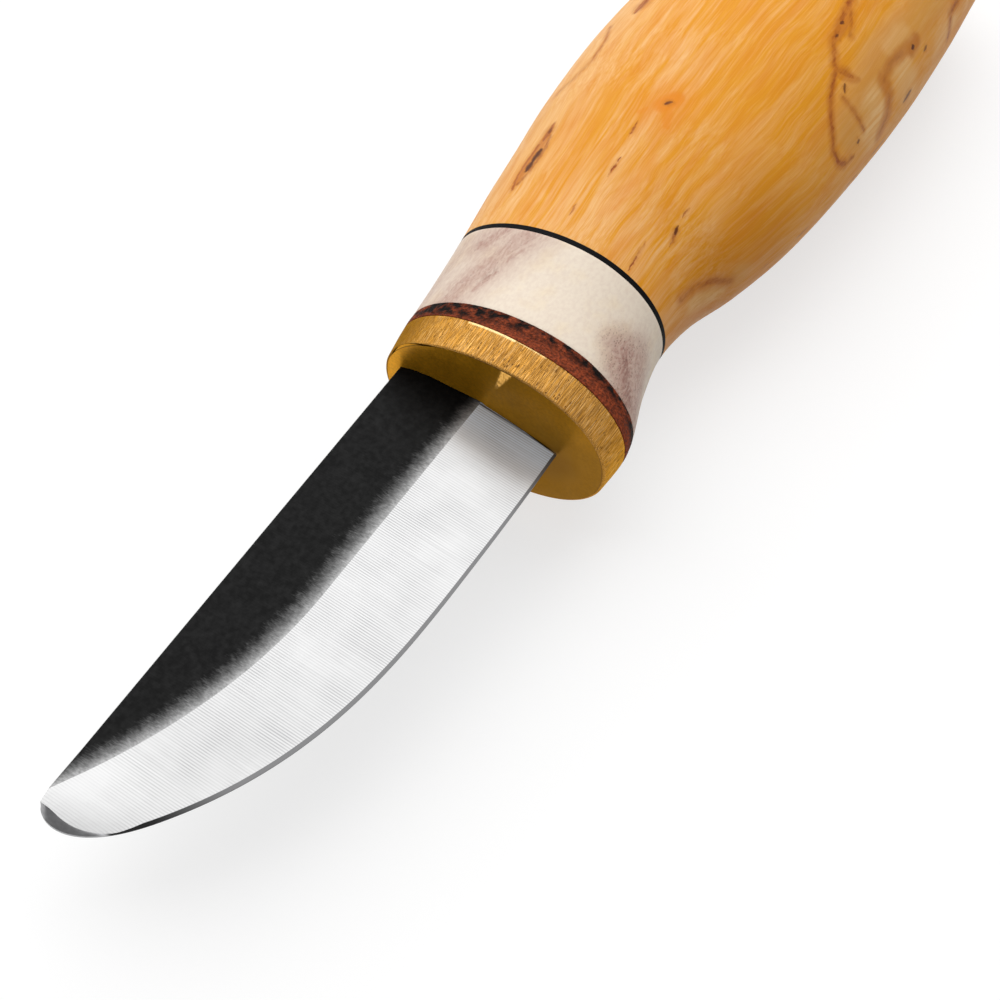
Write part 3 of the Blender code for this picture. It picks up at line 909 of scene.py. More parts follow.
@dataclass(frozen=True)
class BirchFinish(Finish):
    """Oiled curly birch: golden streaks along the handle, brown flecks and a knotted figure."""

    name: str = "oiled_birch"
    gold: Colour = (0.80, 0.328, 0.010)
    pale: Colour = (0.90, 0.505, 0.190)
    # Pale wood of the light patches, also used for the painted sheen towards the spine side.
    sap_and_sheen: Colour = (0.93, 0.60, 0.27)
    amber: Colour = (0.74, 0.235, 0.006)
    tan: Colour = (0.70, 0.36, 0.105)
    # Honey brown of the flecks' halos, also used for the painted shade on the low front.
    honey: Colour = (0.52, 0.145, 0.010)
    brown: Colour = (0.31, 0.055, 0.006)
    bark: Colour = (0.065, 0.010, 0.004)
    ring: Colour = (0.80, 0.245, 0.004)
    swell: Span = (1.22, 0.86)
    swell_reach: Span = (16.0, 58.0)
    wavy: Span = (0.07, 0.9)
    frayed: Span = (1.3, 0.26)
    swirled: Span = (0.35, 0.8)
    streak: Grain = Grain((0.08, 2.2, 2.2), 4.0, 0.40, 0.61)
    fine: Grain = Grain((0.14, 5.5, 5.5), 2.0, 0.44, 0.62)
    hair: Grain = Grain((0.20, 8.0, 8.0), 2.0, 0.38, 0.64)
    broad: Grain = Grain((0.045, 0.20, 0.20), 3.0, 0.36, 0.66)
    band: Grain = Grain((0.06, 0.85, 0.85), 3.0, 0.38, 0.63)
    curl: Grain = Grain((0.10, 0.6, 0.6), 3.0, 0.46, 0.72)
    patchy: Grain = Grain((0.7, 1.1, 1.1), 4.0, 0.36, 0.64)
    stray: Pits = Pits((0.13, 0.55, 0.55), 0.42)
    pale_front: Span = (36.0, 20.0)
    far_side: tuple[Span, Span] = ((24.0, 36.0), (5.0, -8.0))
    upper_back: tuple[Span, Span] = ((36.0, 46.0), (8.0, 4.0))
    # Painted shade: the low front on the edge side, darkened towards honey.
    low_front: tuple[Span, Span] = ((46.0, 34.0), (-8.0, -13.0))
    # Painted sheen: paler wood towards the spine side, where the oil reflects at a grazing angle.
    edge_sheen_rise: Span = (6.0, 15.0)
    under: Span = (0.5, -3.0)
    streak_share: float = 0.52
    broad_share: float = 0.44
    band_share: float = 0.66
    fine_share: float = 0.30
    pale_start: float = 0.46
    front_share: float = 0.2
    far_side_loss: Line = (-0.4, 1.0)
    upper_back_loss: Line = (-0.15, 1.0)
    edge_sheen_share: float = 0.55
    curl_share: float = 0.5
    hair_share: float = 0.36
    ring_core_share: float = 0.9
    ring_halo_share: float = 0.4
    shade_share: float = 0.32
    flame_share: float = 0.55
    lit_streaks: Line = (0.5, 0.35)
    fleck_halo_share: float = 0.55
    figure_halo_share: float = 0.7
    heart_halo_share: float = 0.5
    stray_halo_share: float = 0.7
    stain_share: float = 0.75
    hair_lines: Line = (0.4, 0.6)
    fleck_gain: float = 0.1
    figure_patches: Line = (0.8, 0.2)
    stray_core_share: float = 0.6
    heart_share: float = 0.9
    hair_relief: float = 0.25
    roughness: Line = (0.16, 0.38)
    specular: float = 0.15
    relief: float = 0.00004
    flecks: Strokes = (
        Stroke(((36.9, 2.9, 11.5), (34.4, 2.7, 11.2)), 0.17, 0.85, 0.8),
        Stroke(((31.7, 2.0, 10.9), (28.4, 1.9, 10.6)), 0.17, 0.9, 0.8),
        Stroke(((23.8, 3.0, 10.1), (21.5, 2.8, 10.0)), 0.16, 0.5, 0.8),
        Stroke(((24.2, -5.6, 8.9), (19.4, -5.9, 8.4)), 0.18, 0.9, 0.8),
        Stroke(((28.0, -7.3, 8.5), (25.4, -7.8, 7.8)), 0.28, 0.7, 0.8),
        Stroke(((30.6, -7.2, 9.1), (29.0, -7.2, 8.8)), 0.17, 0.6, 0.8),
        Stroke(((58.2, 13.0, 9.1), (54.4, 13.1, 9.0)), 0.8, 0.8, 0.8),
        Stroke(((23.8, 11.2, 7.4), (26.2, 11.9, 7.1), (29.0, 12.1, 7.4), (31.0, 12.2, 7.6)), 0.32, 0.6),
        Stroke(((24.6, 11.0, 7.5), (27.4, 10.7, 8.0), (30.2, 10.9, 8.3), (32.6, 11.6, 8.2)), 0.32, 0.6),
        Stroke(((34.9, 12.3, 8.0), (31.6, 12.0, 7.8)), 0.6, 0.65, 0.8),
    )
    hearts: Strokes = (
        Stroke(((30.2, 11.4, 8.0), (28.4, 11.4, 7.9), (26.9, 11.2, 7.7)), 0.62, 1.0, 0.3),
        Stroke(((33.9, 12.1, 8.0), (32.9, 12.0, 7.9)), 0.36, 0.6, 0.6),
        Stroke(((40.4, 1.4, 12.0), (40.9, 1.0, 12.0)), 0.34, 0.9, 0.3),
        Stroke(((27.9, -7.3, 8.5), (26.8, -7.5, 8.1)), 0.3, 0.9, 0.7),
        Stroke(((63.5, -9.1, 11.4), (63.9, -9.1, 11.4)), 0.36, 0.9, 0.4),
        Stroke(((61.4, -9.5, 11.2), (61.8, -9.5, 11.2)), 0.3, 0.8, 0.4),
        Stroke(((57.2, -13.0, 9.0), (56.4, -13.5, 8.6)), 0.34, 0.8, 0.5),
        Stroke(((54.7, -16.8, 3.8), (55.1, -16.8, 3.8)), 0.4, 0.85, 0.5),
        Stroke(((70.1, -16.1, 6.0), (70.6, -16.1, 6.0)), 0.5, 1.0, 0.5),
        Stroke(((72.4, -17.0, 4.4), (73.2, -17.0, 4.5)), 0.4, 0.7, 0.5),
        Stroke(((65.9, -17.8, 1.7), (67.9, -17.8, 1.9)), 0.5, 0.8, 0.5),
    )
    stains: Strokes = (
        Stroke(((34.6, 12.2, 8.1), (24.0, 11.3, 7.3)), 1.35, 0.9, 0.7),
        Stroke(((66.0, -8.8, 11.5), (61.4, -9.8, 11.0)), 1.3, 0.85, 0.5),
        Stroke(((71.4, -16.0, 6.2), (69.9, -16.1, 6.1)), 1.5, 0.95),
        Stroke(((71.1, -15.9, 6.3), (65.4, -15.4, 7.0), (62.9, -15.7, 6.5)), 1.4, 0.75),
        Stroke(((62.9, -15.7, 6.5), (62.8, -16.8, 4.6), (61.6, -17.4, 2.8), (59.7, -17.6, 1.5)), 1.7, 0.8),
        Stroke(((57.4, -12.2, 9.5), (59.4, -13.8, 8.4)), 1.0, 0.7, 0.4),
        Stroke(((56.0, -15.3, 6.5), (56.4, -16.7, 4.3)), 0.7, 0.6, 0.4),
    )
    rings: Strokes = (
        Stroke(((41.5, 0.9, 12.0), (40.1, 1.5, 12.0)), 2.1, 1.0),
        Stroke(((39.9, 0.7, 12.0), (37.6, -0.2, 11.6)), 1.2, 0.8, 0.4),
        Stroke(((38.9, 3.0, 11.6), (38.1, 3.4, 11.5)), 0.7, 0.7),
        Stroke(((33.5, -1.2, 11.2), (25.0, -1.0, 10.2)), 0.9, 0.35, 0.6),
    )
    figure: Strokes = (
        Stroke(((52.8, 15.3, 7.1), (49.6, 14.2, 8.1), (45.6, 13.8, 8.2)), 0.3, 0.6),
        Stroke(((45.6, 13.8, 8.2), (43.0, 14.4, 7.4), (40.6, 15.3, 6.2)), 0.45, 0.35),
        Stroke(((23.0, -10.9, 3.5), (25.4, -11.4, 3.4), (27.8, -12.3, 2.7), (30.2, -13.4, 1.1)), 0.55, 0.7),
        Stroke(((67.4, -8.3, 11.7), (63.8, -8.9, 11.5), (60.5, -9.6, 11.1), (57.9, -11.2, 10.2)), 0.42, 0.9),
        Stroke(((70.5, -7.9, 11.7), (67.4, -8.3, 11.7)), 0.6, 0.8),
        Stroke(((67.4, -8.3, 11.7), (66.0, -9.2, 11.3), (63.0, -10.6, 10.7)), 0.4, 0.6),
        Stroke(((57.8, -11.6, 9.9), (58.9, -13.2, 8.9)), 0.6, 0.9, 0.5),
        Stroke(((57.9, -11.4, 10.1), (56.1, -12.0, 9.6), (54.1, -12.7, 9.0), (52.1, -14.0, 7.6)), 0.36, 1.0),
        Stroke(((52.1, -14.0, 7.6), (50.2, -15.6, 5.5), (50.5, -16.4, 3.9), (51.6, -16.8, 2.9)), 0.42, 0.9),
        Stroke(((51.6, -16.8, 2.9), (53.7, -17.0, 2.7)), 0.34, 0.7, 0.5),
        Stroke(((55.7, -13.6, 8.3), (56.1, -15.5, 6.3), (56.4, -16.7, 4.3)), 0.36, 0.6),
        Stroke(((68.0, -15.6, 6.7), (65.4, -15.4, 7.0), (62.9, -15.8, 6.4)), 0.5, 0.45),
        Stroke(((62.8, -16.8, 4.6), (61.6, -17.4, 2.8), (59.7, -17.6, 1.5)), 0.5, 0.5),
        Stroke(((83.0, -16.6, 4.2), (80.5, -16.8, 4.0), (79.4, -17.6, 1.6)), 0.5, 0.8),
    )
    flame: Strokes = (
        Stroke(((80.0, -15.0, 7.0), (64.0, -14.2, 8.0), (54.0, -15.6, 5.8)), 4.0, 0.9),
        Stroke(((25.0, -12.2, 2.0), (32.0, -14.0, 1.0)), 2.0, 0.8),
    )
    lights: Strokes = (
        Stroke(((67.0, -16.7, 5.1), (67.3, -17.5, 3.1)), 1.5, 0.9),
        Stroke(((59.7, -16.2, 5.4), (59.7, -17.1, 3.8), (57.5, -17.3, 3.0)), 1.3, 0.9),
        Stroke(((70.5, -14.8, 7.7), (66.5, -14.5, 8.0)), 0.7, 0.5),
        Stroke(((80.2, -17.1, 3.3), (76.0, -17.5, 3.0)), 1.0, 0.6),
        Stroke(((25.0, -12.3, 1.5), (28.0, -13.2, 0.5)), 0.8, 0.6),
    )

    def along_form(self, graph: FinishGraph, place: Value) -> Value:
        """Bends the grain so that it follows the swelling of the handle.

        Args:
            graph: The finish.
            place: Point that is read.

        Returns:
            The point with the grain drawn straight.
        """
        x, y, z = graph.split(place)
        narrow, wide = self.swell
        swell = graph.ramp(x, *self.swell_reach) * (wide - narrow) + narrow
        return graph.join(x, y * swell, z * swell)

    def paleness(self, graph: FinishGraph, streak: Value, wavy: Value) -> Value:
        """Mixes the pale streaks along the handle.

        Args:
            graph: The finish.
            streak: The main streaks.
            wavy: Point that is read.

        Returns:
            Share of the pale wood.
        """
        x, y, _ = graph.split(graph.place)
        share = streak * self.streak_share + graph.grain(self.broad, wavy) * self.broad_share
        share = share + graph.grain(self.band, wavy) * self.band_share
        share = share - self.pale_start + graph.grain(self.fine, wavy) * self.fine_share
        share = share + graph.ramp(x, *self.pale_front) * self.front_share
        losses = ((self.far_side, self.far_side_loss), (self.upper_back, self.upper_back_loss))
        for (along, across), loss in losses:
            share = share * graph.line(graph.ramp(y, *across) * graph.ramp(x, *along), loss)
        return share

    def dress(self, graph: FinishGraph) -> None:
        """Feeds the shader: wood first, then its marks from pale to dark.

        Args:
            graph: The finish's node tree.
        """
        wavy = self.along_form(graph, graph.warped(*self.wavy))
        frayed = graph.warped(*self.frayed)
        swirled = graph.warped(*self.swirled)
        x, y, z = graph.split(graph.place)
        streak = graph.grain(self.streak, wavy)
        hair = graph.grain(self.hair, wavy)
        # Painted shade on the low front of the edge side.
        along, across = self.low_front
        low = graph.ramp(y, *across) * graph.ramp(x, *along)
        ring_core, ring_halo = graph.strokes(self.rings, frayed)
        fleck_core, fleck_halo = graph.strokes(self.flecks, frayed)
        heart_core, heart_halo = graph.strokes(self.hearts, frayed)
        figure_core, figure_halo = graph.strokes(self.figure, frayed)
        stain_core, _ = graph.strokes(self.stains, frayed)
        flame_core, _ = graph.strokes(self.flame, swirled)
        _, light_halo = graph.strokes(self.lights, swirled)
        stray = graph.pits(self.stray, frayed) * graph.ramp(z, *self.under)
        halo = graph.most(fleck_halo * self.fleck_halo_share, figure_halo * self.figure_halo_share,
                          heart_halo * self.heart_halo_share, stray * self.stray_halo_share,
                          stain_core * self.stain_share)
        line = graph.line(hair, self.hair_lines)
        figure = figure_core * graph.line(graph.grain(self.patchy), self.figure_patches)
        core = graph.most(fleck_core * (line + self.fleck_gain), figure * line, stray * self.stray_core_share)
        colour = graph.laid(
            self.gold,
            (self.paleness(graph, streak, wavy), self.pale),
            # Painted sheen: paler towards the spine side.
            (graph.ramp(y, *self.edge_sheen_rise) * self.edge_sheen_share, self.sap_and_sheen),
            (graph.grain(self.curl, wavy) * self.curl_share, self.amber),
            (hair * self.hair_share, self.amber),
            (graph.most(ring_core * self.ring_core_share, ring_halo * self.ring_halo_share), self.ring),
            # Painted shade: the low front on the edge side.
            (low * self.shade_share, self.honey),
            (flame_core * self.flame_share, self.tan),
            (light_halo * graph.line(streak, self.lit_streaks), self.sap_and_sheen),
            (halo, self.honey),
            (core, self.brown),
            (heart_core * self.heart_share, self.bark),
        )
        graph.put(Base_Color=colour, Roughness=graph.line(hair, self.roughness),
                  Specular_IOR_Level=self.specular)
        graph.bump(hair * self.hair_relief - core, self.relief)


@dataclass(frozen=True)
class EpoxyFinish(Finish):
    """Cured adhesive round the tang, clouded with fine bubbles."""

    name: str = "cured_adhesive"
    amber: Colour = (0.62, 0.46, 0.20)
    cloud: Colour = (0.74, 0.63, 0.40)
    clouds: Grain = Grain((0.4, 0.5, 0.5))
    bubbles: Pits = Pits((1.2, 1.2, 1.2), 0.35)
    bubble_share: float = 0.4
    roughness: Line = (0.2, 0.25)
    relief: float = 0.00003

    def dress(self, graph: FinishGraph) -> None:
        """Feeds the shader with clouds and bubbles.

        Args:
            graph: The finish's node tree.
        """
        clouds = graph.grain(self.clouds)
        bubbles = graph.pits(self.bubbles)
        colour = graph.laid(self.amber, (clouds, self.cloud), (bubbles * self.bubble_share, self.cloud))
        graph.put(Base_Color=colour, Roughness=graph.line(clouds, self.roughness))
        graph.bump(bubbles, self.relief)


@dataclass(frozen=True)
class Row:
    """One ring of an oval loft, in metres: its place along X, its reach and its shape."""

    along: float
    spine: float
    edge: float
    side: float
    power: float
    outside: float = 1.0

    def drawn_in(self, inset: float, along: float) -> "Row":
        """Returns the same oval, smaller by an inset and at another place."""
        return Row(along, self.spine - inset, self.edge - inset, self.side - inset, self.power, self.outside)

    def towards(self, other: "Row", share: float, along: float) -> "Row":
        """Mixes this oval with another.

        Args:
            other: The other oval.
            share: Share of the other oval.
            along: Place of the mixed oval.

        Returns:
            The mixed oval, which counts as an end face.
        """
        names = ("spine", "edge", "side", "power")
        mixed = [getattr(self, name) * (1 - share) + getattr(other, name) * share for name in names]
        return Row(along, *mixed, 0.0)


ROW_VALUES = tuple(item.name for item in fields(Row))


@dataclass(frozen=True)
class HandFit:
    """Lean of the layers' joints, which were cut and stacked by hand, in metres."""

    axes: KnifeAxes
    heights: tuple[float, ...] = (-0.013, -0.008, -0.003, 0.002, 0.007, 0.011)
    plate: tuple[float, ...] = (0.00025, 0.00029, 0.00030, 0.00044, 0.00060, 0.00060)
    leather: tuple[float, ...] = (0.00025, 0.00048, 0.00042, 0.00032, 0.00010, -0.00015)
    liner: tuple[float, ...] = (0.00046, 0.00046, 0.00035, 0.00010, -0.00022, -0.00043)
    reach: float = 0.012

    def shift(self, point: Vector) -> float:
        """Finds how far a point of the stack lies from a square-cut joint.

        Args:
            point: Point on the knife's axes.

        Returns:
            The distance along X, in metres.
        """
        axes = self.axes
        leans = [np.interp(point.y, self.heights, row) for row in (self.plate, self.leather, self.liner)]
        places = (0.0, axes.plate_back, axes.leather_back, axes.antler_back, axes.liner_back,
                  axes.liner_back + self.reach)
        return float(np.interp(point.x, places, (0.0, *leans, leans[-1], 0.0)))


class OvalLoft:
    """Geometry Nodes tree that lofts rows of superellipses into one closed skin."""

    SEED = 3.0
    NO_GRIT = (0.0, 1.0)
    GRIT_DETAIL = 3.0

    def __init__(self, egg: float, fit: HandFit) -> None:
        """Builds the tree.

        Args:
            egg: How much thicker the ovals are on the edge side, as a share.
            fit: Lean of the joints between the layers.
        """
        self.egg = egg
        self.fit = fit
        self.tree = self.build_tree()

    def build_tree(self) -> bpy.types.NodeTree:
        """Builds the loft's tree.

        Returns:
            A tree whose input mesh has one vertex for each row, with the row's values as attributes.
        """
        inputs = {"Rows": "Geometry", "Around": "Int", "Egg": "Float", "Grit Height": "Float",
                  "Grit Scale": "Float", "Seed": "Float", "Material": "Material"}
        graph = GroupGraph("oval_loft", "GeometryNodeTree", inputs, {"Skin": "Geometry"})
        given = graph.given
        count = graph.out("GeometryNodeAttributeDomainSize", {"Geometry": given["Rows"]}, "Point Count",
                          component="MESH")
        feeds = {"Vertices X": given["Around"] + 1, "Vertices Y": count}
        skin = graph.out("GeometryNodeMeshGrid", feeds, "Mesh")
        index = graph.out("GeometryNodeInputIndex")
        column = graph.math("FLOOR", (index + 0.5) / count)
        row = index - column * count
        values = {}
        for name in ROW_VALUES:
            feeds = {"Geometry": given["Rows"], "Value": self.stored(graph, name), "Index": row}
            values[name] = graph.out("GeometryNodeSampleIndex", feeds, data_type="FLOAT", domain="POINT")

        turn = column * (2 * math.pi) / given["Around"]
        exponent = graph.math("DIVIDE", 2.0, values["power"])
        reaches = []
        for wave in ("COSINE", "SINE"):
            swing = graph.math(wave, turn)
            size = graph.math("POWER", graph.math("ABSOLUTE", swing), exponent)
            reaches.append(graph.math("SIGN", swing) * size)
        up, out = reaches
        y = (values["spine"] - values["edge"]) * 0.5 + (values["spine"] + values["edge"]) * 0.5 * up
        z = values["side"] * (1.0 - given["Egg"] * up) * out
        feeds = {"Geometry": skin, "Name": "outside", "Value": values["outside"]}
        skin = graph.out("GeometryNodeStoreNamedAttribute", feeds, data_type="FLOAT", domain="POINT")
        feeds = {"Geometry": skin, "Position": graph.join(values["along"], y, z)}
        skin = graph.out("GeometryNodeSetPosition", feeds)
        skin = graph.out("GeometryNodeMergeByDistance", {"Geometry": skin, "Distance": SAME_POINT})

        feeds = {"Vector": graph.out("GeometryNodeInputPosition"), "W": given["Seed"],
                 "Scale": given["Grit Scale"], "Detail": self.GRIT_DETAIL}
        noise = graph.out("ShaderNodeTexNoise", feeds, noise_dimensions="4D")
        lift = (noise - 0.5) * given["Grit Height"] * self.stored(graph, "outside")
        offset = graph.scaled(graph.out("GeometryNodeInputNormal"), lift)
        skin = graph.out("GeometryNodeSetPosition", {"Geometry": skin, "Offset": offset})
        skin = graph.out("GeometryNodeSetShadeSmooth", {"Geometry": skin})
        skin = graph.out("GeometryNodeRealizeInstances", {"Geometry": skin})
        feeds = {"Geometry": skin, "Material": given["Material"]}
        return graph.give(Skin=graph.out("GeometryNodeSetMaterial", feeds))

    @staticmethod
    def stored(graph: Graph, name: str) -> Value:
        """Reads a number that the mesh stores."""
        return graph.out("GeometryNodeInputNamedAttribute", {"Name": name}, "Attribute", data_type="FLOAT")

    def make(self, name: str, rows: Sequence[Row], around: int, material: bpy.types.Material,
             grit: Span = NO_GRIT) -> bpy.types.Object:
        """Lofts one piece.

        Args:
            name: Name of the piece.
            rows: Its rings, in order along the skin.
            around: Points on each ring.
            material: Its finish.
            grit: Height of the surface's unevenness in metres, and its repeats per metre.

        Returns:
            The piece as a plain mesh in its place.
        """
        line = bpy.data.meshes.new(f"{name}_rows")
        line.from_pydata([(row.along, 0.0, 0.0) for row in rows], [], [])
        for value in ROW_VALUES:
            layer = line.attributes.new(value, "FLOAT", "POINT")
            layer.data.foreach_set("value", [getattr(row, value) for row in rows])
        piece = bpy.data.objects.new(name, line)
        bpy.context.scene.collection.objects.link(piece)
        modifier = piece.modifiers.new("loft", "NODES")
        modifier.node_group = self.tree
        chosen = {"Around": around, "Egg": self.egg, "Grit Height": grit[0], "Grit Scale": grit[1],
                  "Seed": self.SEED, "Material": material}
        for item in self.tree.interface.items_tree:
            if item.name in chosen and item.in_out == "INPUT":
                modifier[item.identifier] = chosen[item.name]
        graph = bpy.context.evaluated_depsgraph_get()
        mesh = bpy.data.meshes.new_from_object(piece.evaluated_get(graph), depsgraph=graph)
        piece.modifiers.remove(modifier)
        piece.data = mesh
        bpy.data.meshes.remove(line)
        mesh.name = name
        close_skin(mesh)
        for vertex in mesh.vertices:
            vertex.co.x += self.fit.shift(vertex.co)
        mesh.transform(Matrix.Translation(self.fit.axes.origin))
        return piece


def close_skin(mesh: bpy.types.Mesh) -> None:
    """Drops empty faces of a mesh, turns its faces outwards and marks its sharp edges.

    Args:
        mesh: The mesh, which is changed in place.
    """
    builder = bmesh.new()
    builder.from_mesh(mesh)
    bmesh.ops.remove_doubles(builder, verts=builder.verts, dist=SAME_POINT)
    bmesh.ops.dissolve_degenerate(builder, edges=builder.edges, dist=NO_LENGTH)
    bmesh.ops.recalc_face_normals(builder, faces=builder.faces)
    builder.to_mesh(mesh)
    builder.free()
    mesh.shade_smooth()
    mesh.set_sharp_from_angle(angle=SHARP_ANGLE)


def spread(start: float, end: float, step: float) -> list[float]:
    """Divides a stretch evenly.

    Args:
        start: First value.
        end: Last value.
        step: Greatest distance between values.

    Returns:
        The values, both ends included.
    """
    count = max(1, math.ceil((end - start) / step))
    return [start + (end - start) * index / count for index in range(count + 1)]


def shares(steps: int) -> list[float]:
    """Divides 0 to 1 into steps, and leaves out the 0."""
    return spread(0.0, 1.0, 1 / steps)[1:]


@dataclass
class HandleForm:
    """Ovals of the whole handle along X, with a smooth curve through them."""

    axes: KnifeAxes
    power: float = 2.05
    egg: float = 0.03
    butt_length: float = 0.0125
    liner_lap: float = 0.00009
    front: Point = (0.0125, 0.0148, 0.0096)
    plate: Point = (0.0132, 0.0150, 0.0097)
    washer: Point = (0.0133, 0.0146, 0.0099)
    antler: Point = (0.0139, 0.0126, 0.0098)
    waist: Point = (0.0147, 0.0114, 0.0100)
    neck: Point = (0.0158, 0.0121, 0.0103)
    swell: Point = (0.0167, 0.0143, 0.0111)
    hip: Point = (0.0178, 0.0162, 0.0121)
    crown: Point = (0.0184, 0.0174, 0.0128)
    belly: Point = (0.0178, 0.0180, 0.0129)
    rear: Point = (0.0168, 0.0176, 0.0124)
    tail: Point = (0.0162, 0.0169, 0.0119)
    butt: Point = (0.0156, 0.0162, 0.0113)
    birch_shares: tuple[float, ...] = (0.096, 0.193, 0.316, 0.481, 0.674, 0.867)
    stations: list[tuple[float, Point]] = field(default_factory=list)

    def __post_init__(self) -> None:
        """Sets the ovals at their places along X."""
        axes = self.axes
        tail_start = axes.butt_end - self.butt_length
        birch = [axes.liner_back + (tail_start - axes.liner_back) * share for share in self.birch_shares]
        places = [0.0, axes.plate_back, axes.leather_back, (axes.leather_back + axes.antler_back) / 2,
                  axes.liner_back, *birch, tail_start, axes.butt_end]
        ovals = (self.front, self.plate, self.washer, self.antler, self.waist, self.neck, self.swell,
                 self.hip, self.crown, self.belly, self.rear, self.tail, self.butt)
        self.stations = list(zip(places, ovals))

    def slope(self, index: int) -> Vector:
        """Slope of the reaches at one station.

        Args:
            index: Number of the station.

        Returns:
            The change of each reach along X.
        """
        before = self.stations[max(0, index - 1)]
        after = self.stations[min(len(self.stations) - 1, index + 1)]
        return (Vector(after[1]) - Vector(before[1])) / (after[0] - before[0])

    def row(self, along: float) -> Row:
        """Reads the handle's oval.

        Args:
            along: Place along X.

        Returns:
            The oval there.
        """
        index = 0
        while index < len(self.stations) - 2 and along > self.stations[index + 1][0]:
            index += 1
        (near, near_oval), (far, far_oval) = self.stations[index], self.stations[index + 1]
        span = far - near
        t = min(1.0, max(0.0, (along - near) / span))
        oval = (
            Vector(near_oval) * (2 * t**3 - 3 * t**2 + 1)
            + self.slope(index) * span * (t**3 - 2 * t**2 + t)
            + Vector(far_oval) * (3 * t**2 - 2 * t**3)
            + self.slope(index + 1) * span * (t**3 - t**2)
        )
        return Row(along, oval.x, oval.y, oval.z, self.power)

    def rim_rows(self, end: float, inward: int, radius: float, steps: int) -> list[Row]:
        """Rows of one rounded rim.

        Args:
            end: The layer's end along X.
            inward: 1 or -1, the way from the end into the layer.
            radius: Radius of the rim.
            steps: Steps of the rim.

        Returns:
            The rows from the side to the end.
        """
        rows = []
        for index in range(steps + 1):
            turn = math.pi / 2 * index / steps
            along = end + inward * radius * (1 - math.sin(turn))
            rows.append(self.row(along).drawn_in(radius * (1 - math.cos(turn)), along))
        return rows

    def side_rows(self, front: float, back: float, radii: Span, step: float, steps: int) -> list[Row]:
        """Rows of one layer's outside with rounded rims.

        Args:
            front: Front of the layer along X.
            back: Back of the layer.
            radii: Radius of the front rim and of the back rim.
            step: Greatest distance between rows.
            steps: Steps of each rim.

        Returns:
            The rows from the front rim to the back rim.
        """
        middle = spread(front + radii[0], back - radii[1], step)[1:-1]
        return [*self.rim_rows(front, 1, radii[0], steps)[::-1], *map(self.row, middle),
                *self.rim_rows(back, -1, radii[1], steps)]


@dataclass
class TangSlot:
    """Slot that the tang passes through in each layer of the stack."""

    top: float = 0.0083
    bottom: float = 0.0002
    half_width: float = 0.0017
    power: float = 9.0

    def row(self, along: float) -> Row:
        """Returns the slot's ring at a place along X."""
        return Row(along, self.top, -self.bottom, self.half_width, self.power, 0.0)


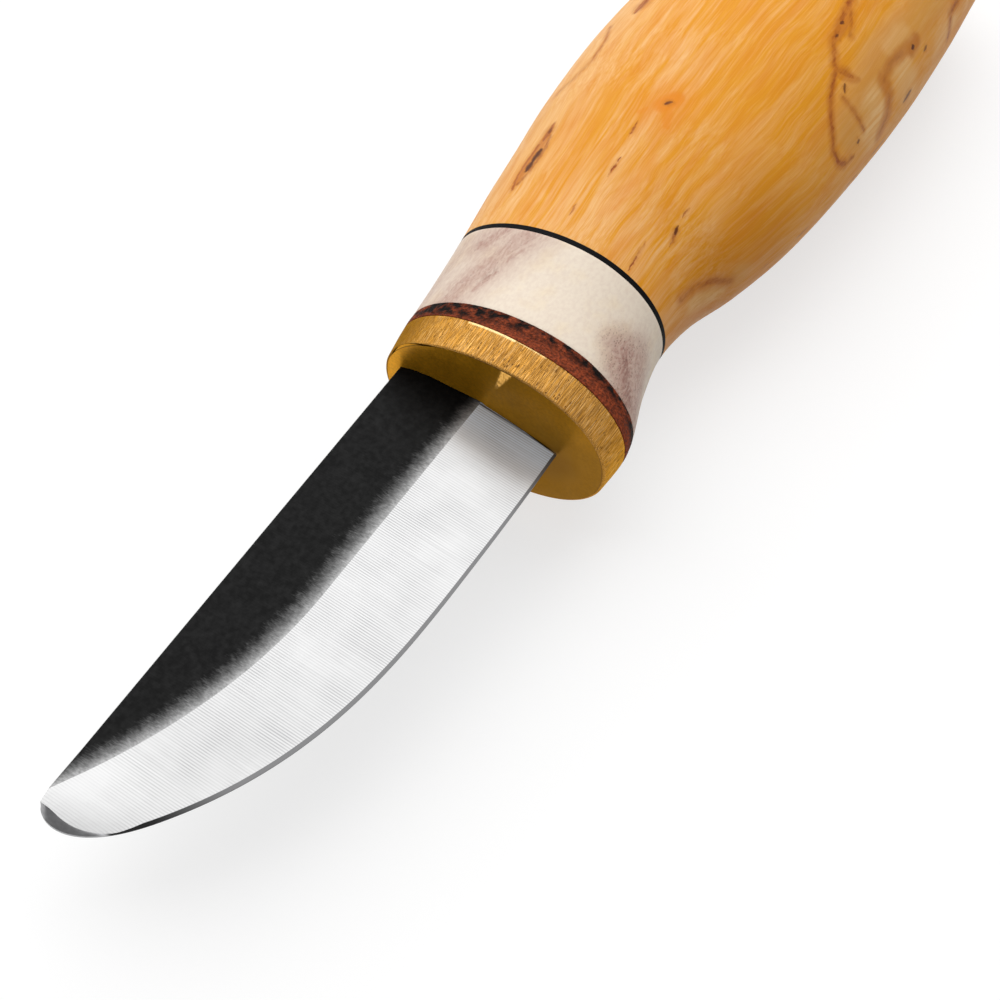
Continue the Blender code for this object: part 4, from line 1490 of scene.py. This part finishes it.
@dataclass
class Blade:
    """Steel blade with a rounded tip, a bevel on both sides and a flat tang."""

    length: float = 0.0616
    thickness: float = 0.003
    spine_height: float = 0.01065
    spine_break: float = 0.00012
    spine_break_fade: float = 0.005
    edge_depth: float = 0.0093
    edge_taper: float = 0.00085
    edge_land: float = 0.00012
    heel_lift: float = 0.0003
    heel_lift_reach: float = 0.016
    heel_slant: float = 0.0009
    heel_slant_start: float = 0.0015
    heel_slant_reach: float = 0.004
    belly_start: float = 0.017
    belly_rise: float = 0.0137
    stoned_width: float = 0.00030
    stoned_growth: float = 0.00028
    stoned_end: float = 0.0597
    stoned_fade: float = 0.0028
    stoned_least: float = 0.02
    shoulder: float = 0.0008
    shoulder_taper: float = 0.00095
    shoulder_curve_start: float = 0.028
    shoulder_rise: float = 0.01053
    nose_setback: float = 0.0059
    nose_spine_setback: float = 0.00133
    nose_pull: float = 0.0101
    nose_spine_pull: float = 0.00084
    nose_slope: float = 2.09
    nose_ease: float = 0.69
    nose_land: float = 0.0006
    nose_crown: float = 1.25
    seat_depth: float = 0.00085
    glue_line: float = 0.0001
    tang_length: float = 0.070
    tang_top: float = 0.008
    tang_height: float = 0.0075
    tang_end_height: float = 0.005
    tang_relief: float = 0.0001
    step: float = 0.0006
    flat_steps: int = 6
    bevel_steps: int = 10
    nose_steps: int = 40
    round_steps: int = 6
    halvings: int = 60
    digits: int = 8

    def edge_height(self, distance: float) -> float:
        """Height of the cutting edge at a distance from the heel.

        Args:
            distance: Distance from the heel.

        Returns:
            The height, in metres.
        """
        belly = max(0.0, distance - self.belly_start) / (self.length - self.belly_start)
        heel = max(0.0, 1 - max(0.0, distance) / self.heel_lift_reach)
        along = self.edge_taper * distance / self.length
        return -self.edge_depth + along + self.belly_rise * belly**3 + self.heel_lift * heel**2

    def shoulder_height(self, distance: float) -> float:
        """Height of the line between flat and bevel at a distance from the heel."""
        curve = max(0.0, distance - self.shoulder_curve_start) / (self.length - self.shoulder_curve_start)
        return self.shoulder + self.shoulder_taper * distance / self.length + self.shoulder_rise * curve**2

    @functools.cached_property
    def shoulder_end(self) -> float:
        """Distance from the heel at which the shoulder line runs out into the spine.

        Returns:
            The distance, in metres.
        """
        low, high = self.shoulder_curve_start, 2 * self.length
        for _ in range(self.halvings):
            middle = (low + high) / 2
            if self.shoulder_height(middle) < self.spine_height:
                low = middle
            else:
                high = middle
        return low

    def half_thickness(self, distance: float, height: float) -> float:
        """Half the thickness on the bevel, which grows evenly from the edge to the shoulder.

        Args:
            distance: Distance from the heel.
            height: Height on the knife's axes.

        Returns:
            Half the thickness, in metres.
        """
        edge = self.edge_height(distance)
        share = (height - edge) / (self.shoulder_height(distance) - edge)
        return max(self.edge_land / 2, self.thickness / 2 * min(1.0, max(0.0, share)))

    def stoned_at(self, distance: float) -> float:
        """Height of the stoned edge, which runs out before the rounded tip."""
        width = self.stoned_width + self.stoned_growth * distance / self.length
        return width * min(1.0, max(self.stoned_least, (self.stoned_end - distance) / self.stoned_fade))

    def slanted(self, distance: float, height: float) -> float:
        """Place along X on the heel, which leans towards the tip below the middle.

        Args:
            distance: Distance from the heel.
            height: Height on the knife's axes.

        Returns:
            The place, in metres.
        """
        below = max(0.0, -height - self.heel_slant_start) / (self.edge_depth - self.heel_slant_start)
        near = max(0.0, 1 - (distance + self.seat_depth) / self.heel_slant_reach)
        return -distance - self.heel_slant * below * near

    def nose_outline(self) -> list[Vector]:
        """Draws the rounded tip.

        Returns:
            Points from the cutting edge up to the spine, on one smooth curve.
        """
        start_distance = self.length - self.nose_setback
        small = self.step / 10
        start = Vector((-start_distance, self.edge_height(start_distance)))
        along_edge = Vector((-small, self.edge_height(start_distance + small) - start.y)).normalized()
        end = Vector((-(self.length - self.nose_spine_setback), self.spine_height))
        first_pull = start + along_edge * self.nose_pull
        second_pull = end + Vector((-self.nose_spine_pull, 0.0))
        points = []
        for index in range(self.nose_steps + 1):
            t = index / self.nose_steps
            points.append(start * (1 - t)**3 + first_pull * 3 * t * (1 - t)**2
                          + second_pull * 3 * t**2 * (1 - t) + end * t**3)
        return points

    def upright_rib(self, distance: float) -> list[Vector]:
        """One rib across the upper side of the blade.

        Args:
            distance: Distance from the heel.

        Returns:
            Points from the spine down to the cutting edge.
        """
        half = self.thickness / 2
        shoulder = self.shoulder_height(distance)
        edge = self.edge_height(distance)
        stoned = edge + self.stoned_at(distance)
        chamfer = self.spine_break * min(1.0, (self.shoulder_end - distance) / self.spine_break_fade)
        top = self.spine_height - chamfer
        rib = [Vector((-distance, self.spine_height, half - chamfer))]
        for share in (0.0, *shares(self.flat_steps)):
            rib.append(Vector((-distance, top + (min(shoulder, top) - top) * share, half)))
        for share in shares(self.bevel_steps):
            height = shoulder + (stoned - shoulder) * share
            along = self.slanted(distance, height)
            rib.append(Vector((along, height, self.half_thickness(distance, height))))
        last = rib[-1]
        for share in shares(self.round_steps):
            height = last.y + (edge - last.y) * share
            thickness = last.z + (self.edge_land / 2 - last.z) * share
            rib.append(Vector((self.slanted(distance, height), height, thickness)))
        return rib

    def nose_rib(self, outline: Sequence[Vector], index: int) -> list[Vector]:
        """One rib that fans out from the shoulder's end to the rounded tip.

        Args:
            outline: The tip's outline.
            index: Point of the outline that the rib ends on.

        Returns:
            Points from the spine to the outline.
        """
        top = self.spine_height
        hub = Vector((-self.shoulder_end, top))
        rib = [Vector((*hub, self.thickness / 2))] * (self.flat_steps + 2)
        t = index / self.nose_steps
        point = outline[index]
        before = outline[max(0, index - 1)]
        after = outline[min(self.nose_steps, index + 1)]
        inward = Vector((after.y - before.y, before.x - after.x)).normalized()
        ease = min(1.0, (1 - t) / self.nose_ease)
        facet = self.nose_slope * ease * self.half_thickness(-point.x, point.y)
        rounding = max(self.edge_land, self.stoned_at(-point.x) * inward.y, facet)
        inner = point + inward * rounding
        inner.y = min(inner.y, top)
        for share in shares(self.bevel_steps):
            flat_point = hub + (inner - hub) * share
            rib.append(Vector((*flat_point, self.half_thickness(-flat_point.x, flat_point.y))))
        thick = rib[-1].z
        land = (self.edge_land + (self.nose_land - self.edge_land) * t) / 2
        for share in shares(self.round_steps):
            flat_point = inner + (point - inner) * share
            rib.append(Vector((*flat_point, land + (thick - land) * (1 - share**self.nose_crown))))
        return rib

    def ribs(self) -> list[list[Vector]]:
        """Lists the ribs of the upper side, from behind the heel to the tip.

        Returns:
            The points of each rib.
        """
        last_upright = self.length - self.nose_setback
        made = [self.upright_rib(distance) for distance in spread(-self.seat_depth, last_upright, self.step)]
        outline = self.nose_outline()
        start = next(i for i, point in enumerate(outline) if -point.x > last_upright + self.step / 4)
        return made + [self.nose_rib(outline, index) for index in range(start, len(outline))]

    def zone(self, index: int, count: int) -> Zone:
        """Finish of the strip between two neighbouring points of a rib.

        Args:
            index: Number of the strip.
            count: Points on the rib.

        Returns:
            The strip's zone.
        """
        if index == 0:
            return Zone.SPINE
        if index <= self.flat_steps:
            return Zone.FLAT
        return Zone.BEVEL if index < count - 1 - self.round_steps else Zone.STONED

    def build(self, material: bpy.types.Material, origin: Vector) -> bpy.types.Object:
        """Builds blade and tang as one closed mesh.

        Args:
            material: The steel's finish.
            origin: Place of the knife's axes in the frame.

        Returns:
            The blade in its place.
        """
        builder = bmesh.new()
        zones = builder.faces.layers.int.new("zone")
        ribs = self.ribs()
        count = len(ribs[0])
        made: dict[tuple, bmesh.types.BMVert] = {}

        def corner(point: Vector, side: int) -> bmesh.types.BMVert:
            """Returns the vertex at a point of the upper side or its mirror image.

            Args:
                point: Point on the upper side.
                side: 1 for the upper side, -1 for the mirror image.

            Returns:
                The vertex, made once for each place.
            """
            mirrored = (point.x, point.y, point.z * side)
            place = tuple(round(value, self.digits) for value in mirrored)
            if place not in made:
                made[place] = builder.verts.new(mirrored)
            return made[place]

        def face(zone: Zone, *corners: bmesh.types.BMVert) -> None:
            """Adds a face unless its corners fall together.

            Args:
                zone: Its finish.
                corners: Its vertices in order.
            """
            distinct = list(dict.fromkeys(corners))
            if len(distinct) > 2 and not builder.faces.get(distinct):
                builder.faces.new(distinct)[zones] = zone.value

        for near, far in zip(ribs, ribs[1:]):
            for index in range(count - 1):
                quad = (near[index], near[index + 1], far[index + 1], far[index])
                for side in (1, -1):
                    face(self.zone(index, count), *(corner(point, side) for point in quad))
            for index, zone in ((0, Zone.SPINE), (count - 1, Zone.STONED)):
                face(zone, corner(near[index], 1), corner(near[index], -1), corner(far[index], -1),
                     corner(far[index], 1))
        tip = ribs[-1]
        for index in range(count - 1):
            face(self.zone(index, count), corner(tip[index], 1), corner(tip[index + 1], 1),
                 corner(tip[index + 1], -1), corner(tip[index], -1))
        self.add_tang(builder, face, corner, ribs[0])

        bmesh.ops.recalc_face_normals(builder, faces=builder.faces)
        for edge in builder.edges:
            kinds = {linked[zones] for linked in edge.link_faces}
            edge.smooth = len(kinds) < 2 and edge.calc_face_angle(0.0) < SHARP_ANGLE
        mesh = bpy.data.meshes.new("blade")
        builder.to_mesh(mesh)
        builder.free()
        for polygon in mesh.polygons:
            polygon.use_smooth = True
        self.mark_finishes(mesh)
        mesh.materials.append(material)
        mesh.transform(Matrix.Translation(origin - Vector((self.glue_line, 0.0, 0.0))))
        piece = bpy.data.objects.new("steel_blade", mesh)
        bpy.context.scene.collection.objects.link(piece)
        return piece

    def add_tang(self, builder: bmesh.types.BMesh, face: Callable[..., None],
                 corner: Callable[[Vector, int], bmesh.types.BMVert], heel: Sequence[Vector]) -> None:
        """Adds the heel's end face and the tang behind it.

        Args:
            builder: The mesh that is built.
            face: Function that adds a face.
            corner: Function that gives a vertex.
            heel: The rib at the heel.
        """
        half = self.thickness / 2 - self.tang_relief
        narrowing = (self.tang_height - self.tang_end_height) / 2
        bottom = self.tang_top - self.tang_height
        ends = []
        for along, inset in ((self.seat_depth, 0.0), (self.tang_length, narrowing)):
            outline = ((self.tang_top - inset, half), (bottom + inset, half),
                       (bottom + inset, -half), (self.tang_top - inset, -half))
            ends.append([builder.verts.new((along, y, z)) for y, z in outline])
        front, back = ends
        top_up, bottom_up, bottom_down, top_down = front
        turn = self.flat_steps + 1
        upper = [corner(point, 1) for point in heel]
        lower = [corner(point, -1) for point in heel]
        face(Zone.SPINE, *upper[:turn + 1], bottom_up, top_up)
        face(Zone.SPINE, *lower[:turn + 1], bottom_down, top_down)
        face(Zone.SPINE, upper[0], lower[0], top_down, top_up)
        face(Zone.SPINE, *upper[turn:], *lower[:turn - 1:-1], bottom_down, bottom_up)
        for index, following in ((0, 1), (1, 2), (2, 3), (3, 0)):
            face(Zone.SPINE, front[index], front[following], back[following], back[index])
        face(Zone.SPINE, *back)

    def mark_finishes(self, mesh: bpy.types.Mesh) -> None:
        """Stores where each finish of the steel lies.

        Args:
            mesh: The blade, still on the knife's axes.
        """
        zones = [item.value for item in mesh.attributes["zone"].data]
        for name, zone in (("bevel", Zone.BEVEL), ("stoned", Zone.STONED)):
            layer = mesh.attributes.new(name, "FLOAT", "FACE")
            layer.data.foreach_set("value", [float(value == zone.value) for value in zones])
        above = mesh.attributes.new("above_shoulder", "FLOAT", "POINT")
        above.data.foreach_set("value", [
            (vertex.co.y - self.shoulder_height(-vertex.co.x)) / MM for vertex in mesh.vertices
        ])
        mesh.attributes.remove(mesh.attributes["zone"])


@dataclass
class Stack:
    """Brass plate, leather washer, antler spacer and black liner on the tang."""

    form: HandleForm
    loft: OvalLoft
    slot: TangSlot = field(default_factory=TangSlot)
    dish: float = 0.0005
    dish_share: float = 0.78
    dish_steps: int = 10
    rim_line: float = 0.018
    plate_rounds: Span = (0.00022, 0.00016)
    plate_round_steps: int = 5
    plate_step: float = 0.0004
    rim_breaks: Span = (0.00004, 0.00004)
    rim_break_steps: int = 2
    leather_step: float = 0.00015
    antler_step: float = 0.0004
    liner_step: float = 0.0002
    leather_grit: Span = (0.00016, 2600.0)
    leather_around: int = 480
    around: int = 200

    def plate_rows(self) -> list[Row]:
        """Rows of the brass plate.

        Returns:
            A closed loop of rows: hollow face, rounded rim, side, back and slot.
        """
        back = self.form.axes.plate_back
        outside = self.form.side_rows(0.0, back, self.plate_rounds, self.plate_step, self.plate_round_steps)
        hole = self.slot.row(self.dish)
        rows = [hole]
        for share in (*shares(self.dish_steps)[:-1], 1 - self.rim_line):
            hollow = max(0.0, 1 - (share / self.dish_share)**2)**2
            rows.append(hole.towards(outside[0], share, self.dish * hollow))
        return rows + outside + [self.slot.row(back), hole]

    def layer_rows(self, front: float, back: float, step: float) -> list[Row]:
        """Rows of a flush layer.

        Args:
            front: Front of the layer.
            back: Back of the layer.
            step: Greatest distance between rows.

        Returns:
            A closed loop of rows.
        """
        outside = self.form.side_rows(front, back, self.rim_breaks, step, self.rim_break_steps)
        return [self.slot.row(front), *outside, self.slot.row(back), self.slot.row(front)]

    def build(self, brass: bpy.types.Material, leather: bpy.types.Material, antler: bpy.types.Material,
              liner: bpy.types.Material) -> dict[str, bpy.types.Object]:
        """Builds the four layers.

        Args:
            brass: Finish of the plate.
            leather: Finish of the washer.
            antler: Finish of the spacer.
            liner: Finish of the liner.

        Returns:
            The pieces by the node that they stand for.
        """
        axes = self.form.axes
        liner_front = axes.antler_back - self.form.liner_lap
        liner_back = axes.liner_back + self.form.liner_lap
        leather_rows = self.layer_rows(axes.plate_back, axes.leather_back, self.leather_step)
        antler_rows = self.layer_rows(axes.leather_back, liner_front, self.antler_step)
        liner_rows = self.layer_rows(liner_front, liner_back, self.liner_step)
        make = self.loft.make
        return {
            "brass_bolster": make("brass_plate", self.plate_rows(), self.around, brass),
            "leather_spacer": make("leather_washer", leather_rows, self.leather_around, leather,
                                   self.leather_grit),
            "antler_spacer": make("antler_ring", antler_rows, self.around, antler),
            "black_liner": make("liner_ring", liner_rows, self.around, liner),
        }


@dataclass
class BirchHandle:
    """Birch handle with a rounded butt and the bore for the tang."""

    form: HandleForm
    loft: OvalLoft
    bore_height: float = 0.0105
    bore_width: float = 0.0062
    bore_middle: float = 0.00425
    bore_depth: float = 0.072
    bore_power: float = 4.0
    butt_power: float = 2.3
    butt_flat: float = 0.2
    butt_steps: int = 26
    step: float = 0.0006
    around: int = 160
    grit: Span = (0.00005, 420.0)

    def bore_row(self, along: float, share: float = 1.0) -> Row:
        """Returns the bore's ring at a place along X.

        Args:
            along: The place.
            share: Share of the bore's full size.

        Returns:
            The ring.
        """
        top = self.bore_middle + self.bore_height / 2 * share
        bottom = self.bore_middle - self.bore_height / 2 * share
        return Row(along, top, -bottom, self.bore_width / 2 * share, self.bore_power, 0.0)

    def rows(self) -> list[Row]:
        """Rows of the handle from the bore's end round the outside to the butt.

        Returns:
            The rows, with a pole at each end.
        """
        axes = self.form.axes
        tail_start = axes.butt_end - self.form.butt_length
        front = axes.liner_back + self.form.liner_lap
        rows = [self.bore_row(self.bore_depth, 0.0), self.bore_row(self.bore_depth), self.bore_row(front)]
        rows += [self.form.row(along) for along in spread(front, tail_start, self.step)]
        full_turn = math.acos(self.butt_flat ** (self.butt_power / 2))
        for index in range(1, self.butt_steps + 1):
            turn = full_turn * index / self.butt_steps
            shrink = math.cos(turn) ** (2 / self.butt_power)
            reach = (math.sin(turn) / math.sin(full_turn)) ** (2 / self.butt_power)
            rows.append(self.shrunk(tail_start + reach * self.form.butt_length, shrink))
        rows.append(self.shrunk(axes.butt_end, 0.0))
        return rows

    def shrunk(self, along: float, share: float) -> Row:
        """Returns the handle's oval at a place, drawn in towards its middle.

        Args:
            along: The place along X.
            share: Share of the oval's full size.

        Returns:
            The oval.
        """
        full = self.form.row(along)
        middle = (full.spine - full.edge) / 2
        reach = (full.spine + full.edge) / 2 * share
        return Row(along, middle + reach, reach - middle, full.side * share, full.power)

    def build(self, material: bpy.types.Material) -> bpy.types.Object:
        """Builds the handle with its finish, in its place."""
        return self.loft.make("birch_grip", self.rows(), self.around, material, self.grit)


@dataclass(frozen=True)
class SoftBox:
    """Square soft light: its name, the way to it from the knife, its distance, its side and its watts."""

    name: str
    way: Point
    distance: float
    size: float
    power: float

    def build(self, centre: Vector) -> None:
        """Adds the light.

        Args:
            centre: Point that it faces.
        """
        light = bpy.data.lights.new(self.name, "AREA")
        light.shape = "SQUARE"
        light.size = self.size
        light.energy = self.power
        box = bpy.data.objects.new(self.name, light)
        towards = Vector(self.way).normalized()
        box.location = centre + towards * self.distance
        box.rotation_euler = towards.to_track_quat("Z", "Y").to_euler()
        bpy.context.scene.collection.objects.link(box)


@dataclass
class Studio:
    """Pale floor, two soft lights, an even surround and the camera."""

    axes: KnifeAxes
    camera_place: Point = (-0.11037, -0.06660, 0.16875)
    camera_right: Point = (0.5245, -0.8512, 0.0172)
    camera_forward: Point = (0.4961, 0.2891, -0.8187)
    lens: float = 72.0
    sensor: float = 36.0
    clip: Span = (0.01, 10.0)
    floor_size: float = 4.0
    floor_drop: float = 0.00002
    floor_colour: Colour = (0.38, 0.38, 0.38)
    floor_roughness: float = 0.9
    floor_glow: float = 0.66
    surround: float = 0.33
    lights: tuple[SoftBox, ...] = (
        SoftBox("softbox", (0.40, 0.45, 0.80), distance=0.65, size=1.1, power=6.6),
        SoftBox("side_fill", (0.50, -0.70, 0.50), distance=0.7, size=0.45, power=0.55),
    )

    def build(self) -> None:
        """Sets up floor, light and camera."""
        self.add_floor()
        self.add_light()
        self.add_camera()
        bpy.context.scene.view_settings.view_transform = "Standard"

    def add_floor(self) -> None:
        """Adds the floor, which is white to the eye and still takes the shadow."""
        half = self.floor_size / 2
        mesh = bpy.data.meshes.new("floor")
        corners = [(-half, -half), (half, -half), (half, half), (-half, half)]
        mesh.from_pydata([(x, y, -self.floor_drop) for x, y in corners], [], [(0, 1, 2, 3)])
        floor = bpy.data.objects.new("floor", mesh)
        bpy.context.scene.collection.objects.link(floor)
        material = bpy.data.materials.new("pale_floor")
        material.use_nodes = True
        graph = Graph(material.node_tree)
        path = graph.node("ShaderNodeLightPath")
        rays = ("Is Camera Ray", "Is Glossy Ray", "Is Transmission Ray")
        seen = graph.most(*(graph.take(path, ray) for ray in rays))
        feeds = {"Base Color": self.floor_colour, "Roughness": self.floor_roughness,
                 "Specular IOR Level": 0.0, "Emission Color": WHITE,
                 "Emission Strength": seen * self.floor_glow}
        for name, value in feeds.items():
            graph.feed(material.node_tree.nodes["Principled BSDF"].inputs[name], value)
        mesh.materials.append(material)

    def add_light(self) -> None:
        """Adds the soft lights and the even surround."""
        world = bpy.data.worlds.new("even_surround")
        world.use_nodes = True
        background = world.node_tree.nodes["Background"]
        graph = Graph(world.node_tree)
        graph.feed(background.inputs["Color"], WHITE)
        seen = graph.out("ShaderNodeLightPath", output="Is Camera Ray")
        graph.feed(background.inputs["Strength"], seen * (1.0 - self.surround) + self.surround)
        bpy.context.scene.world = world
        for light in self.lights:
            light.build(self.axes.origin)

    def add_camera(self) -> None:
        """Adds the camera at the photograph's viewing angle."""
        data = bpy.data.cameras.new("camera")
        data.lens = self.lens
        data.sensor_width = self.sensor
        data.clip_start, data.clip_end = self.clip
        forward = Vector(self.camera_forward).normalized()
        right = Vector(self.camera_right)
        right = (right - forward * right.dot(forward)).normalized()
        up = right.cross(forward)
        turn = Matrix((right, up, -forward)).transposed().to_4x4()
        camera = bpy.data.objects.new("camera", data)
        camera.matrix_world = Matrix.Translation(self.axes.origin + Vector(self.camera_place)) @ turn
        bpy.context.scene.collection.objects.link(camera)
        bpy.context.scene.camera = camera


def settle(piece: bpy.types.Object, node: str, slot: Slot) -> None:
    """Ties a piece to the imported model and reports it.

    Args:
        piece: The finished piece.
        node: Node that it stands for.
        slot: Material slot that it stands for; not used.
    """
    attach(piece, BODY)
    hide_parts(node)
    LOG.info("%s: %d faces for %s", piece.name, len(piece.data.polygons), node)


def main() -> None:
    """Builds the knife, dresses it and sets up the studio."""
    logging.basicConfig(level=logging.INFO, format="%(name)s %(message)s")
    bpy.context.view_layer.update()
    axes = KnifeAxes.from_frame()
    effects = SharedEffects()
    form = HandleForm(axes)
    loft = OvalLoft(form.egg, HandFit(axes))

    blade = Blade().build(SteelFinish().build(axes, effects), axes.origin)
    settle(blade, "blade", Slot.STEEL)
    layers = Stack(form, loft).build(
        BrassFinish().build(axes, effects),
        LeatherFinish().build(axes, effects),
        AntlerFinish().build(axes, effects),
        LinerFinish().build(axes, effects),
    )
    slots = (Slot.BRASS, Slot.LEATHER, Slot.ANTLER, Slot.LINER)
    for (node, piece), slot in zip(layers.items(), slots):
        settle(piece, node, slot)
    handle = BirchHandle(form, loft).build(BirchFinish().build(axes, effects))
    settle(handle, "birch_handle", Slot.BIRCH)

    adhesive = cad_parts["tang_epoxy"]
    finish = EpoxyFinish().build(axes, effects)
    for material_slot in adhesive.material_slots:
        material_slot.material = finish
    LOG.info("%s: kept from the packed model", adhesive.name)

    Studio(axes).build()


if __name__ == "__main__":
    main()
